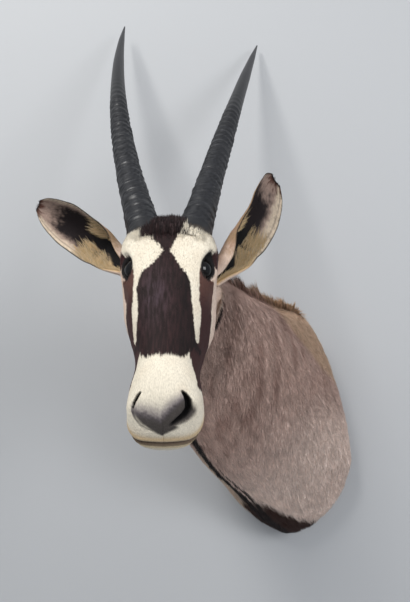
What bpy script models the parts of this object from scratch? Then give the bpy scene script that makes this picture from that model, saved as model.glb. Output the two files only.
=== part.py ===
"""Gemsbok shoulder mount: a life-size taxidermy head, neck and shoulder that hangs on a wall.

World frame, in metres: the wall is the plane Y = 0, the mount stands out towards -Y, +Z is up,
and +X is the animal's left. The origin is the middle of the back board's wall face.
Head frame: u runs from the eyes to the nose, v from the jaw to the forehead, and w to the
animal's left. Its origin is midway between the eyes.
"""
from math import ceil, cos, pi, radians, sin
from random import Random

import bmesh
import bpy
import numpy as np

# Driving dimensions
HEAD_ORIGIN = (-0.228, -0.520, 0.246)
HEAD_PITCH = radians(58.5)
HEAD_YAW = radians(-1.2)
HEAD_ROLL = radians(-0.5)
GAP = 0.0003
RING_SPACING = 0.016
SIDES = 38

BOARD_THICKNESS = 0.018
BOARD_INSET = 0.010

EYE_RADIUS = 0.0195
EYE_CENTRE = (0.0060, 0.0140, 0.0495)
EYE_LOOK = (0.25, 0.62, 0.74)
LID_OPENING = (0.0155, 0.0115)
LID_TILT = radians(12)

HORN_RINGS = 27
HORN_RINGED_SHARE = 0.62
HORN_SIDES = 12
HORN_WAVE = 0.0013
HORN_PLAIN_ROOT = 0.075
HORN_SHARES = (0.00, 0.04, 0.10, 0.25, 0.50, 0.75, 0.90, 1.00)
HORN_DIAMETERS = (0.062, 0.058, 0.0520, 0.0455, 0.0370, 0.0255, 0.0145, 0.0030)
# root (u, v, w), tip (u, v, w), sideways bow, forward bow
HORNS = {
    "horn_right": ((-0.048, 0.019, -0.033), (-0.893, -0.013, -0.150), -0.032, 0.002),
    "horn_left": ((-0.048, 0.019, 0.036), (-0.868, -0.050, 0.211), -0.004, 0.004),
}

EAR_SHARES = (0.00, 0.10, 0.22, 0.36, 0.50, 0.62, 0.75, 0.87, 0.95, 1.00)
EAR_HALF_WIDTHS = {
    "ear_right": (0.017, 0.020, 0.026, 0.034, 0.0405, 0.0425, 0.041, 0.034, 0.0245, 0.011),
    "ear_left": (0.017, 0.020, 0.027, 0.036, 0.0430, 0.0460, 0.0475, 0.0435, 0.0350, 0.017),
}
EAR_CURL = (150, 146, 128, 98, 76, 66, 58, 50, 44, 40)
EAR_THICKNESS = 0.0040
# root and tip in the world, the way the cup faces, and the bow of its middle
EARS = {
    "ear_right": ((-0.286, -0.470, 0.254), (-0.4675, -0.4429, 0.3815), (-0.05, -0.85, -0.50),
                  (0.000, 0.000, -0.007)),
    "ear_left": ((-0.162, -0.472, 0.240), (-0.0405, -0.4286, 0.4330), (0.53, -0.71, -0.46),
                 (0.026, 0.000, -0.014)),
}

# Cross sections of the head: name, top (u, v), bottom (u, v), sideways lean of the bottom,
# height of the widest point, half width, roundness above and below the widest point
HEAD_RINGS = (
    ("nose_tip", (0.2665, -0.0460), (0.2665, -0.0465), 0.001, 0.50, 0.0006, 2.0, 2.0),
    ("lip_4", (0.2640, -0.0340), (0.2655, -0.0590), 0.001, 0.50, 0.0230, 2.3, 2.2),
    ("lip_3", (0.2590, -0.0200), (0.2625, -0.0700), 0.001, 0.52, 0.0360, 2.4, 2.0),
    ("lip_2", (0.2515, -0.0080), (0.2540, -0.0770), 0.002, 0.54, 0.0440, 2.4, 1.85),
    ("lip_1", (0.2400, 0.0060), (0.2400, -0.0800), 0.003, 0.55, 0.0495, 2.4, 1.85),
    ("nostril", (0.2250, 0.0200), (0.2210, -0.0795), 0.004, 0.55, 0.0515, 2.3, 2.0),
    ("lip_corner", (0.2050, 0.0290), (0.1990, -0.0770), 0.006, 0.55, 0.0505, 2.2, 2.0),
    ("waist", (0.1750, 0.0340), (0.1690, -0.0770), 0.008, 0.53, 0.0460, 2.2, 2.0),
    ("nasal", (0.1400, 0.0380), (0.1340, -0.0840), 0.010, 0.50, 0.0520, 2.2, 1.9),
    ("cheek", (0.1000, 0.0410), (0.0960, -0.0970), 0.011, 0.50, 0.0640, 2.3, 1.85),
    ("tear", (0.0600, 0.0450), (0.0640, -0.1130), 0.008, 0.56, 0.0710, 2.4, 1.85),
    ("eye", (0.0000, 0.0500), (0.0420, -0.1300), 0.004, 0.68, 0.0765, 2.6, 1.8),
    ("brow", (-0.0450, 0.0480), (0.0300, -0.1450), 0.003, 0.74, 0.0800, 3.1, 1.8),
    ("crown", (-0.0780, 0.0340), (0.0200, -0.1550), 0.003, 0.70, 0.0780, 3.0, 1.9),
    ("poll", (-0.1080, 0.0040), (0.0120, -0.1630), 0.004, 0.60, 0.0730, 2.1, 2.0),
    ("nape", (-0.1350, -0.0520), (0.0100, -0.1720), 0.006, 0.52, 0.0780, 2.0, 2.0),
)

# Cross sections of the neck and shoulder: name, top and bottom in the world, height of the
# widest point, half width, turn of the section about Z, roundness above and below
BODY_RINGS = (
    ("throat", (-0.205, -0.365, 0.300), (-0.224, -0.365, 0.105), 0.50, 0.086, 12, 2.0, 2.0),
    ("neck_top", (-0.150, -0.330, 0.266), (-0.207, -0.330, 0.022), 0.48, 0.094, 22, 1.9, 2.0),
    ("neck_mid", (-0.085, -0.285, 0.240), (-0.175, -0.278, -0.064), 0.46, 0.106, 29, 1.8, 2.0),
    ("neck_low", (-0.030, -0.225, 0.227), (-0.132, -0.205, -0.138), 0.42, 0.120, 29, 1.65, 2.0),
    ("breast", (0.024, -0.165, 0.222), (-0.070, -0.130, -0.210), 0.38, 0.130, 23, 1.50, 2.0),
    ("brisket", (0.055, -0.115, 0.214), (-0.016, -0.090, -0.274), 0.35, 0.141, 14, 1.42, 1.85),
    ("shoulder", (0.068, -0.070, 0.204), (0.030, -0.055, -0.314), 0.34, 0.142, 6, 1.40, 1.75),
    ("wall", (0.070, -0.0183, 0.190), (0.038, -0.0183, -0.312), 0.34, 0.136, 0, 1.40, 1.70),
)
HEAD_END = "throat"
NECK_END = "breast"

# Swellings and hollows of the head, alike on both sides: centre (u, v, w), reach (u, v, w), height
HEAD_FEATURES = (
    ("brow_ridge", (-0.020, 0.040, 0.062), (0.026, 0.014, 0.024), 0.0035),
    ("tear_hollow", (0.052, 0.004, 0.066), (0.024, 0.013, 0.026), -0.0040),
    ("eyelid_dome", (0.011, 0.025, 0.066), (0.0190, 0.0175, 0.030), 0.0034),
    ("cheek_muscle", (0.010, -0.078, 0.062), (0.036, 0.030, 0.030), 0.0060),
    ("cheek_ridge", (0.085, -0.022, 0.062), (0.045, 0.012, 0.025), 0.0025),
    ("nostril_wing", (0.232, 0.000, 0.042), (0.014, 0.016, 0.016), 0.0030),
    ("lip_roll", (0.225, -0.034, 0.050), (0.030, 0.009, 0.022), 0.0022),
    ("chin_hollow", (0.205, -0.058, 0.048), (0.030, 0.014, 0.026), -0.0030),
    ("horn_stalk", (-0.060, 0.044, 0.038), (0.024, 0.022, 0.024), 0.0040),
    ("ear_root", (-0.066, -0.028, 0.078), (0.024, 0.024, 0.030), 0.0060),
)

# Nostril slit on the animal's left: points (u, v, w) on the skin, and widths
NOSTRIL_PATH = ((0.2215, 0.0190, 0.0270), (0.2300, 0.0110, 0.0335), (0.2390, 0.0010, 0.0355),
                (0.2480, -0.0080, 0.0290), (0.2545, -0.0150, 0.0190), (0.2580, -0.0185, 0.0100))
NOSTRIL_WIDTHS = (0.0030, 0.0048, 0.0078, 0.0080, 0.0056, 0.0020)
NOSTRIL_CORE = (0.205, -0.020)
NOSTRIL_DEPTH = 0.012

# Mane: short locks along the nape that lie towards the head, longest behind the ears.
# node, first and last cross section, share of the way where it starts and ends, locks, length at each end
MANE = (
    ("neck", "throat", "breast", 0.17, 0.96, 26, 0.034, 0.022),
    ("torso", "breast", "wall", 0.36, 0.86, 6, 0.020, 0.015),
)
MANE_SEED = 7
MANE_HALF_SPREAD = 0.011
MANE_HALF_WIDTH = 0.0062
MANE_HALF_THICKNESS = 0.0017
MANE_SUNK = 0.008
MANE_RISE = 0.0115

MOUTH_V = -0.0425
MOUTH_WIDTH = 0.0030
MOUTH_DEPTH = 0.0060
MOUTH_BACK = 0.185


def head_axes():
    """The head frame's three axes in the world."""
    face = np.array([-sin(HEAD_YAW), -cos(HEAD_YAW), 0.0])
    side = np.array([cos(HEAD_YAW), -sin(HEAD_YAW), 0.0])
    up = np.array([0.0, 0.0, 1.0])
    nose = cos(HEAD_PITCH) * face - sin(HEAD_PITCH) * up
    top = sin(HEAD_PITCH) * face + cos(HEAD_PITCH) * up
    return nose, cos(HEAD_ROLL) * top + sin(HEAD_ROLL) * side, cos(HEAD_ROLL) * side - sin(HEAD_ROLL) * top


NOSE_WAY, TOP_WAY, LEFT_WAY = head_axes()


def head_point(u, v, w=0.0):
    """World position of a place in the head frame; u, v and w may be arrays."""
    u, v, w = (np.asarray(value, dtype=float)[..., None] for value in (u, v, w))
    return np.array(HEAD_ORIGIN) + u * NOSE_WAY + v * TOP_WAY + w * LEFT_WAY


def in_head_frame(points):
    """Head-frame coordinates of world points."""
    away = points - np.array(HEAD_ORIGIN)
    return np.stack([away @ NOSE_WAY, away @ TOP_WAY, away @ LEFT_WAY], axis=-1)


def unit(vectors):
    """Vectors scaled to length 1 along the last axis."""
    return vectors / np.maximum(np.linalg.norm(vectors, axis=-1, keepdims=True), 1e-9)


def key_sections():
    """Every named cross section as one row: top, bottom, sideways axis and four shape numbers."""
    rows = []
    for _, top, bottom, lean, widest, half_width, upper, lower in HEAD_RINGS:
        ends = (*head_point(*top), *head_point(*bottom, lean))
        rows.append((*ends, *LEFT_WAY, widest, half_width, upper, lower))
    for _, top, bottom, widest, half_width, turn, upper, lower in BODY_RINGS:
        sideways = (cos(radians(turn)), -sin(radians(turn)), 0.0)
        rows.append((*top, *bottom, *sideways, widest, half_width, upper, lower))
    names = [row[0] for row in HEAD_RINGS + BODY_RINGS]
    return names, np.array(rows)


def section_knots(rows):
    """Distance along the body of each cross section, from the nose tip to the wall."""
    steps = np.abs(np.diff(rows[:, 10]))
    steps += np.linalg.norm(np.diff(rows[:, 0:3], axis=0), axis=1)
    steps += np.linalg.norm(np.diff(rows[:, 3:6], axis=0), axis=1)
    return np.concatenate([[0.0], np.cumsum(steps)])


def smooth_rows(rows, knots, places):
    """Rows read from a smooth curve through the named cross sections."""
    first = np.clip(np.searchsorted(knots, places, side="right") - 1, 0, len(knots) - 2)
    spans = np.diff(knots)
    slopes = np.diff(rows, axis=0) / spans[:, None]
    tangents = np.vstack([slopes[:1], np.zeros_like(slopes[1:]), slopes[-1:]])
    weight = (spans[:-1] / (spans[:-1] + spans[1:]))[:, None]
    tangents[1:-1] = slopes[:-1] * (1 - weight) + slopes[1:] * weight
    span = spans[first][:, None]
    x = ((places - knots[first]) / spans[first])[:, None]
    start, end = rows[first], rows[first + 1]
    return ((2 * x**3 - 3 * x**2 + 1) * start + (x**3 - 2 * x**2 + x) * span * tangents[first]
            + (3 * x**2 - 2 * x**3) * end + (x**3 - x**2) * span * tangents[first + 1])


def section_outlines(rows, sides):
    """Closed outline of each cross section, with its centre."""
    top, bottom, sideways = rows[:, 0:3], rows[:, 3:6], unit(rows[:, 6:9])
    widest, half_width = rows[:, 9], np.maximum(rows[:, 10], 1e-4)
    height = np.linalg.norm(top - bottom, axis=1)
    upward = unit(top - bottom)
    centre = bottom + widest[:, None] * (top - bottom)
    angle = np.linspace(0.0, 2 * pi, sides, endpoint=False)
    across, along = np.cos(angle)[None, :], np.sin(angle)[None, :]
    power = 2.0 / np.where(along >= 0, rows[:, 11:12], rows[:, 12:13])
    reach = np.where(along >= 0, ((1 - widest) * height)[:, None], (widest * height)[:, None])
    x = half_width[:, None] * np.sign(across) * np.abs(across) ** power
    z = reach * np.sign(along) * np.abs(along) ** power
    outline = centre[:, None] + x[..., None] * sideways[:, None] + z[..., None] * upward[:, None]
    return outline, centre


def feature_height(local):
    """Height of the head's swellings and hollows at head-frame points."""
    height = np.zeros(local.shape[:-1])
    mirrored = local.copy()
    mirrored[..., 2] = np.abs(mirrored[..., 2])
    for _, centre, reach, amount in HEAD_FEATURES:
        distance = (mirrored - np.array(centre)) / np.array(reach)
        height += amount * np.exp(-np.sum(distance**2, axis=-1))
    return height


def body_grid(start, end, grow=0.0, sides=SIDES, spacing=RING_SPACING):
    """Grid of skin points between two named cross sections, grown outwards by grow."""
    names, rows = key_sections()
    knots = section_knots(rows)
    low, high = names.index(start), names.index(end)
    places = [knots[low]]
    for first in range(low, high):
        count = max(1, ceil((knots[first + 1] - knots[first]) / spacing))
        places.extend(np.linspace(knots[first], knots[first + 1], count + 1)[1:])
    sections = smooth_rows(rows, knots, np.array(places))
    outline, centre = section_outlines(sections, sides)
    fade = np.clip((knots[names.index("nape")] - np.array(places)) / 0.03, 0.0, 1.0)
    height = feature_height(in_head_frame(outline)) * fade[:, None]
    outline = outline + height[..., None] * unit(outline - centre[:, None])
    if grow:
        along = np.gradient(outline, axis=0)
        around = np.roll(outline, -1, axis=1) - np.roll(outline, 1, axis=1)
        outward = unit(np.cross(along, around))
        outward *= np.sign(np.sum(outward * (outline - centre[:, None]), axis=-1, keepdims=True))
        outline = outline + grow * outward
    return outline


def material(name, colour, roughness, metallic=0.0):
    """A Principled material."""
    made = bpy.data.materials.new(name)
    made.use_nodes = True
    shader = made.node_tree.nodes["Principled BSDF"]
    shader.inputs["Base Color"].default_value = (*colour, 1.0)
    shader.inputs["Roughness"].default_value = roughness
    shader.inputs["Metallic"].default_value = metallic
    return made


def mesh_object(name, points, faces, finish=None):
    """An object from points and faces, with its faces pointing out."""
    mesh = bpy.data.meshes.new(name)
    mesh.from_pydata([tuple(point) for point in points], [], faces)
    shape = bmesh.new()
    shape.from_mesh(mesh)
    bmesh.ops.recalc_face_normals(shape, faces=shape.faces)
    if shape.calc_volume(signed=True) < 0:
        bmesh.ops.reverse_faces(shape, faces=shape.faces)
    shape.to_mesh(mesh)
    shape.free()
    made = bpy.data.objects.new(name, mesh)
    bpy.context.scene.collection.objects.link(made)
    if finish:
        mesh.materials.append(finish)
        mesh.shade_smooth()
    else:
        made.hide_render = True
        made.display_type = "WIRE"
    return made


def tube_object(name, grid, finish=None, pointed_start=False, pointed_end=False):
    """A closed solid from a grid of rings, each end flat or drawn to a point."""
    rings, sides = grid.shape[:2]
    points = list(grid.reshape(-1, 3))
    faces = []
    first = 1 if pointed_start else 0
    last = rings - 2 if pointed_end else rings - 1
    for ring in range(first, last):
        for side in range(sides):
            here = ring * sides + side
            beside = ring * sides + (side + 1) % sides
            faces.append((here, beside, beside + sides, here + sides))
    for ring, pointed in ((first, pointed_start), (last, pointed_end)):
        loop = [ring * sides + side for side in range(sides)]
        if not pointed:
            faces.append(tuple(loop))
            continue
        pole = len(points)
        points.append(grid[ring - 1 if ring == first else ring + 1].mean(axis=0))
        faces.extend((loop[side], loop[(side + 1) % sides], pole) for side in range(sides))
    used = sorted({index for face in faces for index in face})
    order = {index: place for place, index in enumerate(used)}
    faces = [tuple(order[index] for index in face) for face in faces]
    return mesh_object(name, [points[index] for index in used], faces, finish)


def cut(target, cutter):
    """Takes cutter away from target."""
    change = target.modifiers.new("cut_" + cutter.name, "BOOLEAN")
    change.operation = "DIFFERENCE"
    change.solver = "EXACT"
    change.object = cutter


def flat_end(grid, at_end=True):
    """A grid pulled back by the gap from the plane of its last or first section."""
    inner, edge = (-2, -1) if at_end else (1, 0)
    ring = grid[edge]
    normal = unit(np.cross(ring[0] - ring.mean(axis=0), ring[len(ring) // 4] - ring.mean(axis=0)))
    if np.dot(normal, (grid[inner] - ring).mean(axis=0)) < 0:
        normal = -normal
    grid = grid.copy()
    grid[edge] = ring + GAP * normal
    return grid


def back_board(finish):
    """The plywood board behind the shoulder, a little smaller than it."""
    ring = body_grid("shoulder", "wall")[-1]
    centre = ring.mean(axis=0)
    outline = centre + (ring - centre) * (1 - BOARD_INSET / np.linalg.norm(ring - centre, axis=1))[:, None]
    front, back = outline.copy(), outline.copy()
    front[:, 1] = -BOARD_THICKNESS
    back[:, 1] = 0.0
    return tube_object("back_board", np.stack([front, back]), finish)


def eye_axes(side):
    """Centre of an eye, the way it looks, and the long and short ways of its opening."""
    centre = head_point(EYE_CENTRE[0], EYE_CENTRE[1], side * EYE_CENTRE[2])
    look = unit(EYE_LOOK[0] * NOSE_WAY + EYE_LOOK[1] * TOP_WAY + side * EYE_LOOK[2] * LEFT_WAY)
    long_way = unit(NOSE_WAY - np.dot(NOSE_WAY, look) * look)
    short_way = np.cross(look, long_way) * side
    return centre, look, long_way, short_way


def eye(name, side, finish):
    """A glass eye."""
    centre, look, _, _ = eye_axes(side)
    return tube_object(name, ball_grid(centre, EYE_RADIUS, look), finish, True, True)


def ball_grid(centre, radius, forward, rings=13, sides=18):
    """Rings of a ball whose poles lie along forward."""
    across = unit(np.cross(forward, NOSE_WAY))
    along = np.cross(across, forward)
    polar = np.linspace(0.0, pi, rings)[:, None, None]
    angle = np.linspace(0.0, 2 * pi, sides, endpoint=False)[None, :, None]
    return centre + radius * (np.cos(polar) * forward + np.sin(polar) * (np.cos(angle) * along
                                                                        + np.sin(angle) * across))


def lid_cutter(name, side):
    """The almond opening between the lids, from the eye's middle out through the skin."""
    centre, look, long_way, short_way = eye_axes(side)
    angle = np.linspace(0.0, 2 * pi, 20, endpoint=False)[:, None]
    along = LID_OPENING[0] * np.cos(angle)
    up = LID_OPENING[1] * np.sin(angle) * (1 - 0.25 * np.abs(np.cos(angle)) ** 3)
    ring = centre + (along * cos(LID_TILT) - up * sin(LID_TILT)) * long_way
    ring = ring + (along * sin(LID_TILT) + up * cos(LID_TILT)) * short_way
    return tube_object(name, np.stack([ring + 0.004 * look, ring + 0.040 * look]))


def sweep_wedge(name, outer, core, widths, depth, tip_share):
    """A wedge swept along a path: wide outside the skin and narrow inside it."""
    inward = unit(core - outer)
    along = np.gradient(outer, axis=0)
    sideways = unit(np.cross(along, inward))
    half = np.asarray(widths)[:, None] / 2
    rings = (outer - 0.006 * inward + sideways * half * 1.5, outer - 0.006 * inward - sideways * half * 1.5,
             outer + depth * inward - sideways * half * tip_share,
             outer + depth * inward + sideways * half * tip_share)
    return tube_object(name, np.stack(rings, axis=1))


def nostril_cutter(name, side):
    """The comma-shaped nostril on one side."""
    path = np.array(NOSTRIL_PATH)
    outer = head_point(path[:, 0], path[:, 1], side * path[:, 2])
    core = head_point(np.full(len(path), NOSTRIL_CORE[0]), np.full(len(path), NOSTRIL_CORE[1]),
                      side * path[:, 2] * 0.6)
    return sweep_wedge(name, outer, core, NOSTRIL_WIDTHS, NOSTRIL_DEPTH, 0.5)


def mouth_cutter():
    """The line of the mouth, round the muzzle from corner to corner."""
    angle = np.linspace(-1.0, 1.0, 25)
    w = 0.0525 * np.sin(angle * pi / 2 * 1.0)
    reach = np.abs(np.sin(angle * pi / 2))
    u = MOUTH_BACK + (0.2655 - MOUTH_BACK) * np.sqrt(np.maximum(1 - reach**4.5, 0.0))
    v = MOUTH_V - 0.004 * (1 - reach) - 0.006 * np.clip((0.225 - u) / 0.04, 0.0, 1.0)
    outer = head_point(u, v, w)
    core = head_point(np.full(25, MOUTH_BACK), v, w * 0.3)
    return sweep_wedge("mouth_line", outer, core, np.full(25, MOUTH_WIDTH), MOUTH_DEPTH, 0.3)


def head(finish):
    """The head, from the nose to behind the cheeks, with lids, nostrils and mouth."""
    grid = flat_end(body_grid("nose_tip", HEAD_END))
    made = tube_object("head", grid, finish, pointed_start=True)
    for side, label in ((-1, "right"), (1, "left")):
        centre, look, _, _ = eye_axes(side)
        ball = ball_grid(centre, EYE_RADIUS + 2 * GAP, look)
        cut(made, tube_object("socket_" + label, ball, None, True, True))
        cut(made, lid_cutter("lids_" + label, side))
        cut(made, nostril_cutter("nostril_" + label, side))
    cut(made, mouth_cutter())
    return made


def horn(name, root, tip, side_bow, front_bow, finish):
    """A long ringed horn along its own gentle bow."""
    ringed = np.linspace(0.0, HORN_RINGED_SHARE, 2 * HORN_RINGS + 1)
    smooth = np.linspace(HORN_RINGED_SHARE, 1.0, 15)[1:]
    share = np.concatenate([ringed, smooth])
    root, tip = np.array(root), np.array(tip)
    local = root + share[:, None] * (tip - root)
    local[:, 2] += 4 * side_bow * share * (1 - share)
    local[:, 1] += 4 * front_bow * share * (1 - share)
    centre = head_point(local[:, 0], local[:, 1], local[:, 2])
    radius = np.interp(share, HORN_SHARES, HORN_DIAMETERS) / 2
    wave = np.where(np.arange(len(share)) % 2 == 0, HORN_WAVE, -HORN_WAVE)
    wave[len(ringed):] = 0.0
    radius += wave * np.clip(1.25 - share / HORN_RINGED_SHARE, 0.0, 1.0) * (share > HORN_PLAIN_ROOT)
    along = unit(np.gradient(centre, axis=0))
    across = unit(np.cross(along, LEFT_WAY))
    beside = np.cross(along, across)
    angle = np.linspace(0.0, 2 * pi, HORN_SIDES, endpoint=False)[None, :, None]
    grid = centre[:, None] + radius[:, None, None] * (np.cos(angle) * across[:, None]
                                                     + np.sin(angle) * beside[:, None])
    return tube_object(name, grid, finish)


def ear(name, half_widths, root, tip, facing, bow, finish):
    """A cupped leaf-shaped ear whose edges curl together at its root."""
    root, tip = np.array(root), np.array(tip)
    axis = unit(tip - root)
    opening = unit(np.array(facing) - np.dot(facing, axis) * axis)
    beside = np.cross(axis, opening)
    share = np.linspace(0.0, 1.0, 15)
    half_width = np.interp(share, EAR_SHARES, half_widths)
    curl = np.radians(np.interp(share, EAR_SHARES, EAR_CURL))
    radius = half_width / np.sin(np.minimum(curl, pi / 2))
    wall = np.interp(share, (0.0, 0.14, 0.32, 1.0), (0.016, 0.016, EAR_THICKNESS, 0.6 * EAR_THICKNESS))
    backset = -0.012 * np.sin(pi * share)
    rings = []
    for place in range(len(share)):
        sweep = np.linspace(-curl[place], curl[place], 13)
        rim = 1 - 0.55 * (np.abs(sweep) / curl[place]) ** 4
        middle = root + share[place] * (tip - root) + backset[place] * opening
        middle = middle + sin(pi * share[place]) * np.array(bow)
        middle = middle + opening * radius[place] * max(cos(curl[place]), 0.0)
        outer = middle + radius[place] * (np.sin(sweep)[:, None] * beside - np.cos(sweep)[:, None] * opening)
        inner_radius = (radius[place] - wall[place] * rim)[::-1, None]
        sweep = sweep[::-1, None]
        inner = middle + inner_radius * (np.sin(sweep) * beside - np.cos(sweep) * opening)
        rings.append(np.vstack([outer, inner]))
    return tube_object(name, np.stack(rings), finish)


def nape_line(start, end, low, high, count):
    """Points along the middle of the nape, with the way to the head and the way out at each."""
    grid = body_grid(start, end, sides=40, spacing=0.008)
    ridge, centre = grid[:, 10], grid.mean(axis=1)
    share = np.linspace(0.0, 1.0, len(ridge))
    places = np.linspace(low, high, count)
    forward = unit(-np.gradient(ridge, axis=0))
    outward = unit(ridge - centre)
    read = [np.stack([np.interp(places, share, rows[:, axis]) for axis in range(3)], axis=1)
            for rows in (ridge, forward, outward)]
    forward = unit(read[1])
    outward = unit(read[2] - np.sum(read[2] * forward, axis=1, keepdims=True) * forward)
    return read[0], forward, outward


def lock(name, root, forward, outward, aside, length, rise):
    """A flat tapered lock that rises from its sunk root and bends over towards the head."""
    beside = np.cross(forward, outward)
    share = np.array([0.0, 0.22, 0.50, 0.78, 1.0])
    middle = root - MANE_SUNK * outward
    path = middle + share[:, None] * (length * forward + aside * beside)
    path = path + ((MANE_SUNK + rise) * np.sin(share * pi * 0.62) / sin(0.62 * pi))[:, None] * outward
    along = unit(np.gradient(path, axis=0))
    across = unit(np.cross(along, beside))
    taper = np.array([0.85, 1.0, 0.90, 0.60, 0.16])[:, None]
    half_width = MANE_HALF_WIDTH * taper * beside
    half_thickness = MANE_HALF_THICKNESS * np.maximum(taper, 0.4) * across
    corners = (half_width + half_thickness, half_thickness * 1.6, half_thickness - half_width,
               -half_width - half_thickness, half_width - half_thickness)
    return tube_object(name, np.stack([path + corner for corner in corners], axis=1))


def keep_largest_surface(mesh):
    """Deletes all but the largest closed surface of a mesh."""
    shape = bmesh.new()
    shape.from_mesh(mesh)
    shape.verts.ensure_lookup_table()
    unseen = set(shape.verts)
    surfaces = []
    while unseen:
        surface = {unseen.pop()}
        edge = list(surface)
        while edge:
            here = edge.pop()
            near = {link.other_vert(here) for link in here.link_edges} & unseen
            unseen -= near
            surface |= near
            edge.extend(near)
        surfaces.append(surface)
    surfaces.sort(key=len, reverse=True)
    loose = [vert for surface in surfaces[1:] for vert in surface]
    bmesh.ops.delete(shape, geom=loose, context="VERTS")
    shape.to_mesh(mesh)
    shape.free()


def fuse(target, pieces):
    """Joins pieces to target in one union and removes them."""
    gathered = bpy.data.collections.new("locks_of_" + target.name)
    bpy.context.scene.collection.children.link(gathered)
    for piece in pieces:
        gathered.objects.link(piece)
    change = target.modifiers.new("fuse", "BOOLEAN")
    change.operation = "UNION"
    change.operand_type = "COLLECTION"
    change.solver = "EXACT"
    change.collection = gathered
    bpy.context.view_layer.update()
    whole = target.evaluated_get(bpy.context.evaluated_depsgraph_get())
    fused = bpy.data.meshes.new_from_object(whole)
    target.modifiers.clear()
    target.data = fused
    keep_largest_surface(fused)
    for piece in list(pieces):
        bpy.data.objects.remove(piece, do_unlink=True)
    bpy.data.collections.remove(gathered)


def grow_mane(target, start, end, low, high, count, first_length, last_length, draw):
    """Sets a row of locks on the nape of one node, alternately to either side of its middle."""
    roots, forward, outward = nape_line(start, end, low, high, count)
    locks = []
    for place in range(count):
        share = place / (count - 1)
        beside = np.cross(forward[place], outward[place])
        offset = MANE_HALF_SPREAD * (0.55 if place % 2 else -0.55) + draw.uniform(-0.35, 0.35) * MANE_HALF_SPREAD
        length = (first_length + share * (last_length - first_length)) * draw.uniform(0.85, 1.15)
        rise = MANE_RISE * draw.uniform(0.75, 1.1) * (1 - 0.45 * share)
        root = roots[place] + offset * beside - 0.4 * abs(offset) * outward[place]
        locks.append(lock(f"lock_{place}", root, forward[place], outward[place],
                          0.5 * offset + draw.uniform(-0.003, 0.003), length, rise))
    fuse(target, locks)


def remove_everything():
    """Empties the scene that the script starts in."""
    for old in list(bpy.data.objects):
        bpy.data.objects.remove(old, do_unlink=True)


def build():
    """Builds every node."""
    remove_everything()
    hide = material("hide_grey_fawn", (0.33, 0.26, 0.22), 0.85)
    face = material("face_cream_and_dark", (0.62, 0.55, 0.45), 0.8)
    horn_finish = material("horn_charcoal", (0.035, 0.036, 0.042), 0.45)
    ear_finish = material("ear_cream", (0.55, 0.44, 0.30), 0.85)
    glass = material("eye_glass", (0.012, 0.010, 0.012), 0.05)
    plywood = material("plywood", (0.62, 0.47, 0.30), 0.7)

    back_board(plywood)
    torso = tube_object("torso", body_grid(NECK_END, "wall", spacing=0.045), hide)
    neck_grid = flat_end(body_grid(HEAD_END, NECK_END, spacing=0.034))
    neck = tube_object("neck", neck_grid, hide)
    draw = Random(MANE_SEED)
    for name, *row in MANE:
        grow_mane({"neck": neck, "torso": torso}[name], *row, draw)
    head(face)
    eye("eye_left", 1, glass)
    eye("eye_right", -1, glass)
    skin_guide = tube_object("skin_guide", body_grid("nose_tip", HEAD_END, grow=2 * GAP), None, True)
    for name, (root, tip, side_bow, front_bow) in HORNS.items():
        cut(horn(name, root, tip, side_bow, front_bow, horn_finish), skin_guide)
    for name, row in EARS.items():
        cut(ear(name, EAR_HALF_WIDTHS[name], *row, ear_finish), skin_guide)


build()
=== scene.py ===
from math import cos, pi, radians, sin

import bpy
import numpy as np
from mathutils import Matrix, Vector


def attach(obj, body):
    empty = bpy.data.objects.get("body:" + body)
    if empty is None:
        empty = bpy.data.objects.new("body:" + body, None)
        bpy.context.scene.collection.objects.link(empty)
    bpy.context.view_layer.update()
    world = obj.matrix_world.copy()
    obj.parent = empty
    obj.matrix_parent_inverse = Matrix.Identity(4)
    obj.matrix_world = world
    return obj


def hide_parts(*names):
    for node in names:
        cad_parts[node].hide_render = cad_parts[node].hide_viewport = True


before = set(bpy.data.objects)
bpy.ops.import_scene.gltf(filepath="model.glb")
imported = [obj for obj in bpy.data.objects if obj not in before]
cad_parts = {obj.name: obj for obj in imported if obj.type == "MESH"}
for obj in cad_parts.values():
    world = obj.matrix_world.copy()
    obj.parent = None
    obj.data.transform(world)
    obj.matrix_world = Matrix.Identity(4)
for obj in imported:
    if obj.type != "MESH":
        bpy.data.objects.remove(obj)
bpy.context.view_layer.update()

# Gemsbok shoulder mount in the CAD's world frame, in metres: the wall is y = 0, the mount stands out
# towards -y, and +x is the animal's left. In the head frame u runs from the eyes to the nose, v from
# the jaw to the forehead and w to the animal's left. A place is a distance along the body from the
# nose tip, and a girth a distance round it from the middle of the back.

RANDOM = np.random.default_rng(20)

# The body's shape, the same named cross sections as the solids
HEAD_ORIGIN = (-0.228, -0.520, 0.246)
HEAD_PITCH = radians(58.5)
HEAD_YAW = radians(-1.2)
HEAD_ROLL = radians(-0.5)

EYE_RADIUS = 0.0195
EYE_CENTRE = (0.0060, 0.0140, 0.0495)
EYE_LOOK = (0.25, 0.62, 0.74)
# Half length and half height of the opening between the lids
LID_OPENING = (0.0155, 0.0115)
LID_TILT = radians(12)
LID_CLEARANCE = 0.0010
LID_ROLL = 0.0011
LID_CREASE = 0.0016
LID_SQUEEZE = 0.25
SOCKET_DEPTH = 0.014
NEAR_EYE = 0.06

HORN_RINGS = 27
HORN_RINGED_SHARE = 0.62
# Diameters of the horns by share of the length
HORN_SHARES = (0.00, 0.04, 0.10, 0.25, 0.50, 0.75, 0.90, 1.00)
HORN_DIAMETERS = (0.062, 0.058, 0.0520, 0.0455, 0.0370, 0.0255, 0.0145, 0.0030)
# Root (u, v, w), tip (u, v, w), sideways bow and forward bow
HORNS = {
    "horn_right": ((-0.048, 0.019, -0.033), (-0.893, -0.013, -0.150), -0.032, 0.002),
    "horn_left": ((-0.048, 0.019, 0.036), (-0.868, -0.050, 0.211), -0.004, 0.004),
}

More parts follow.
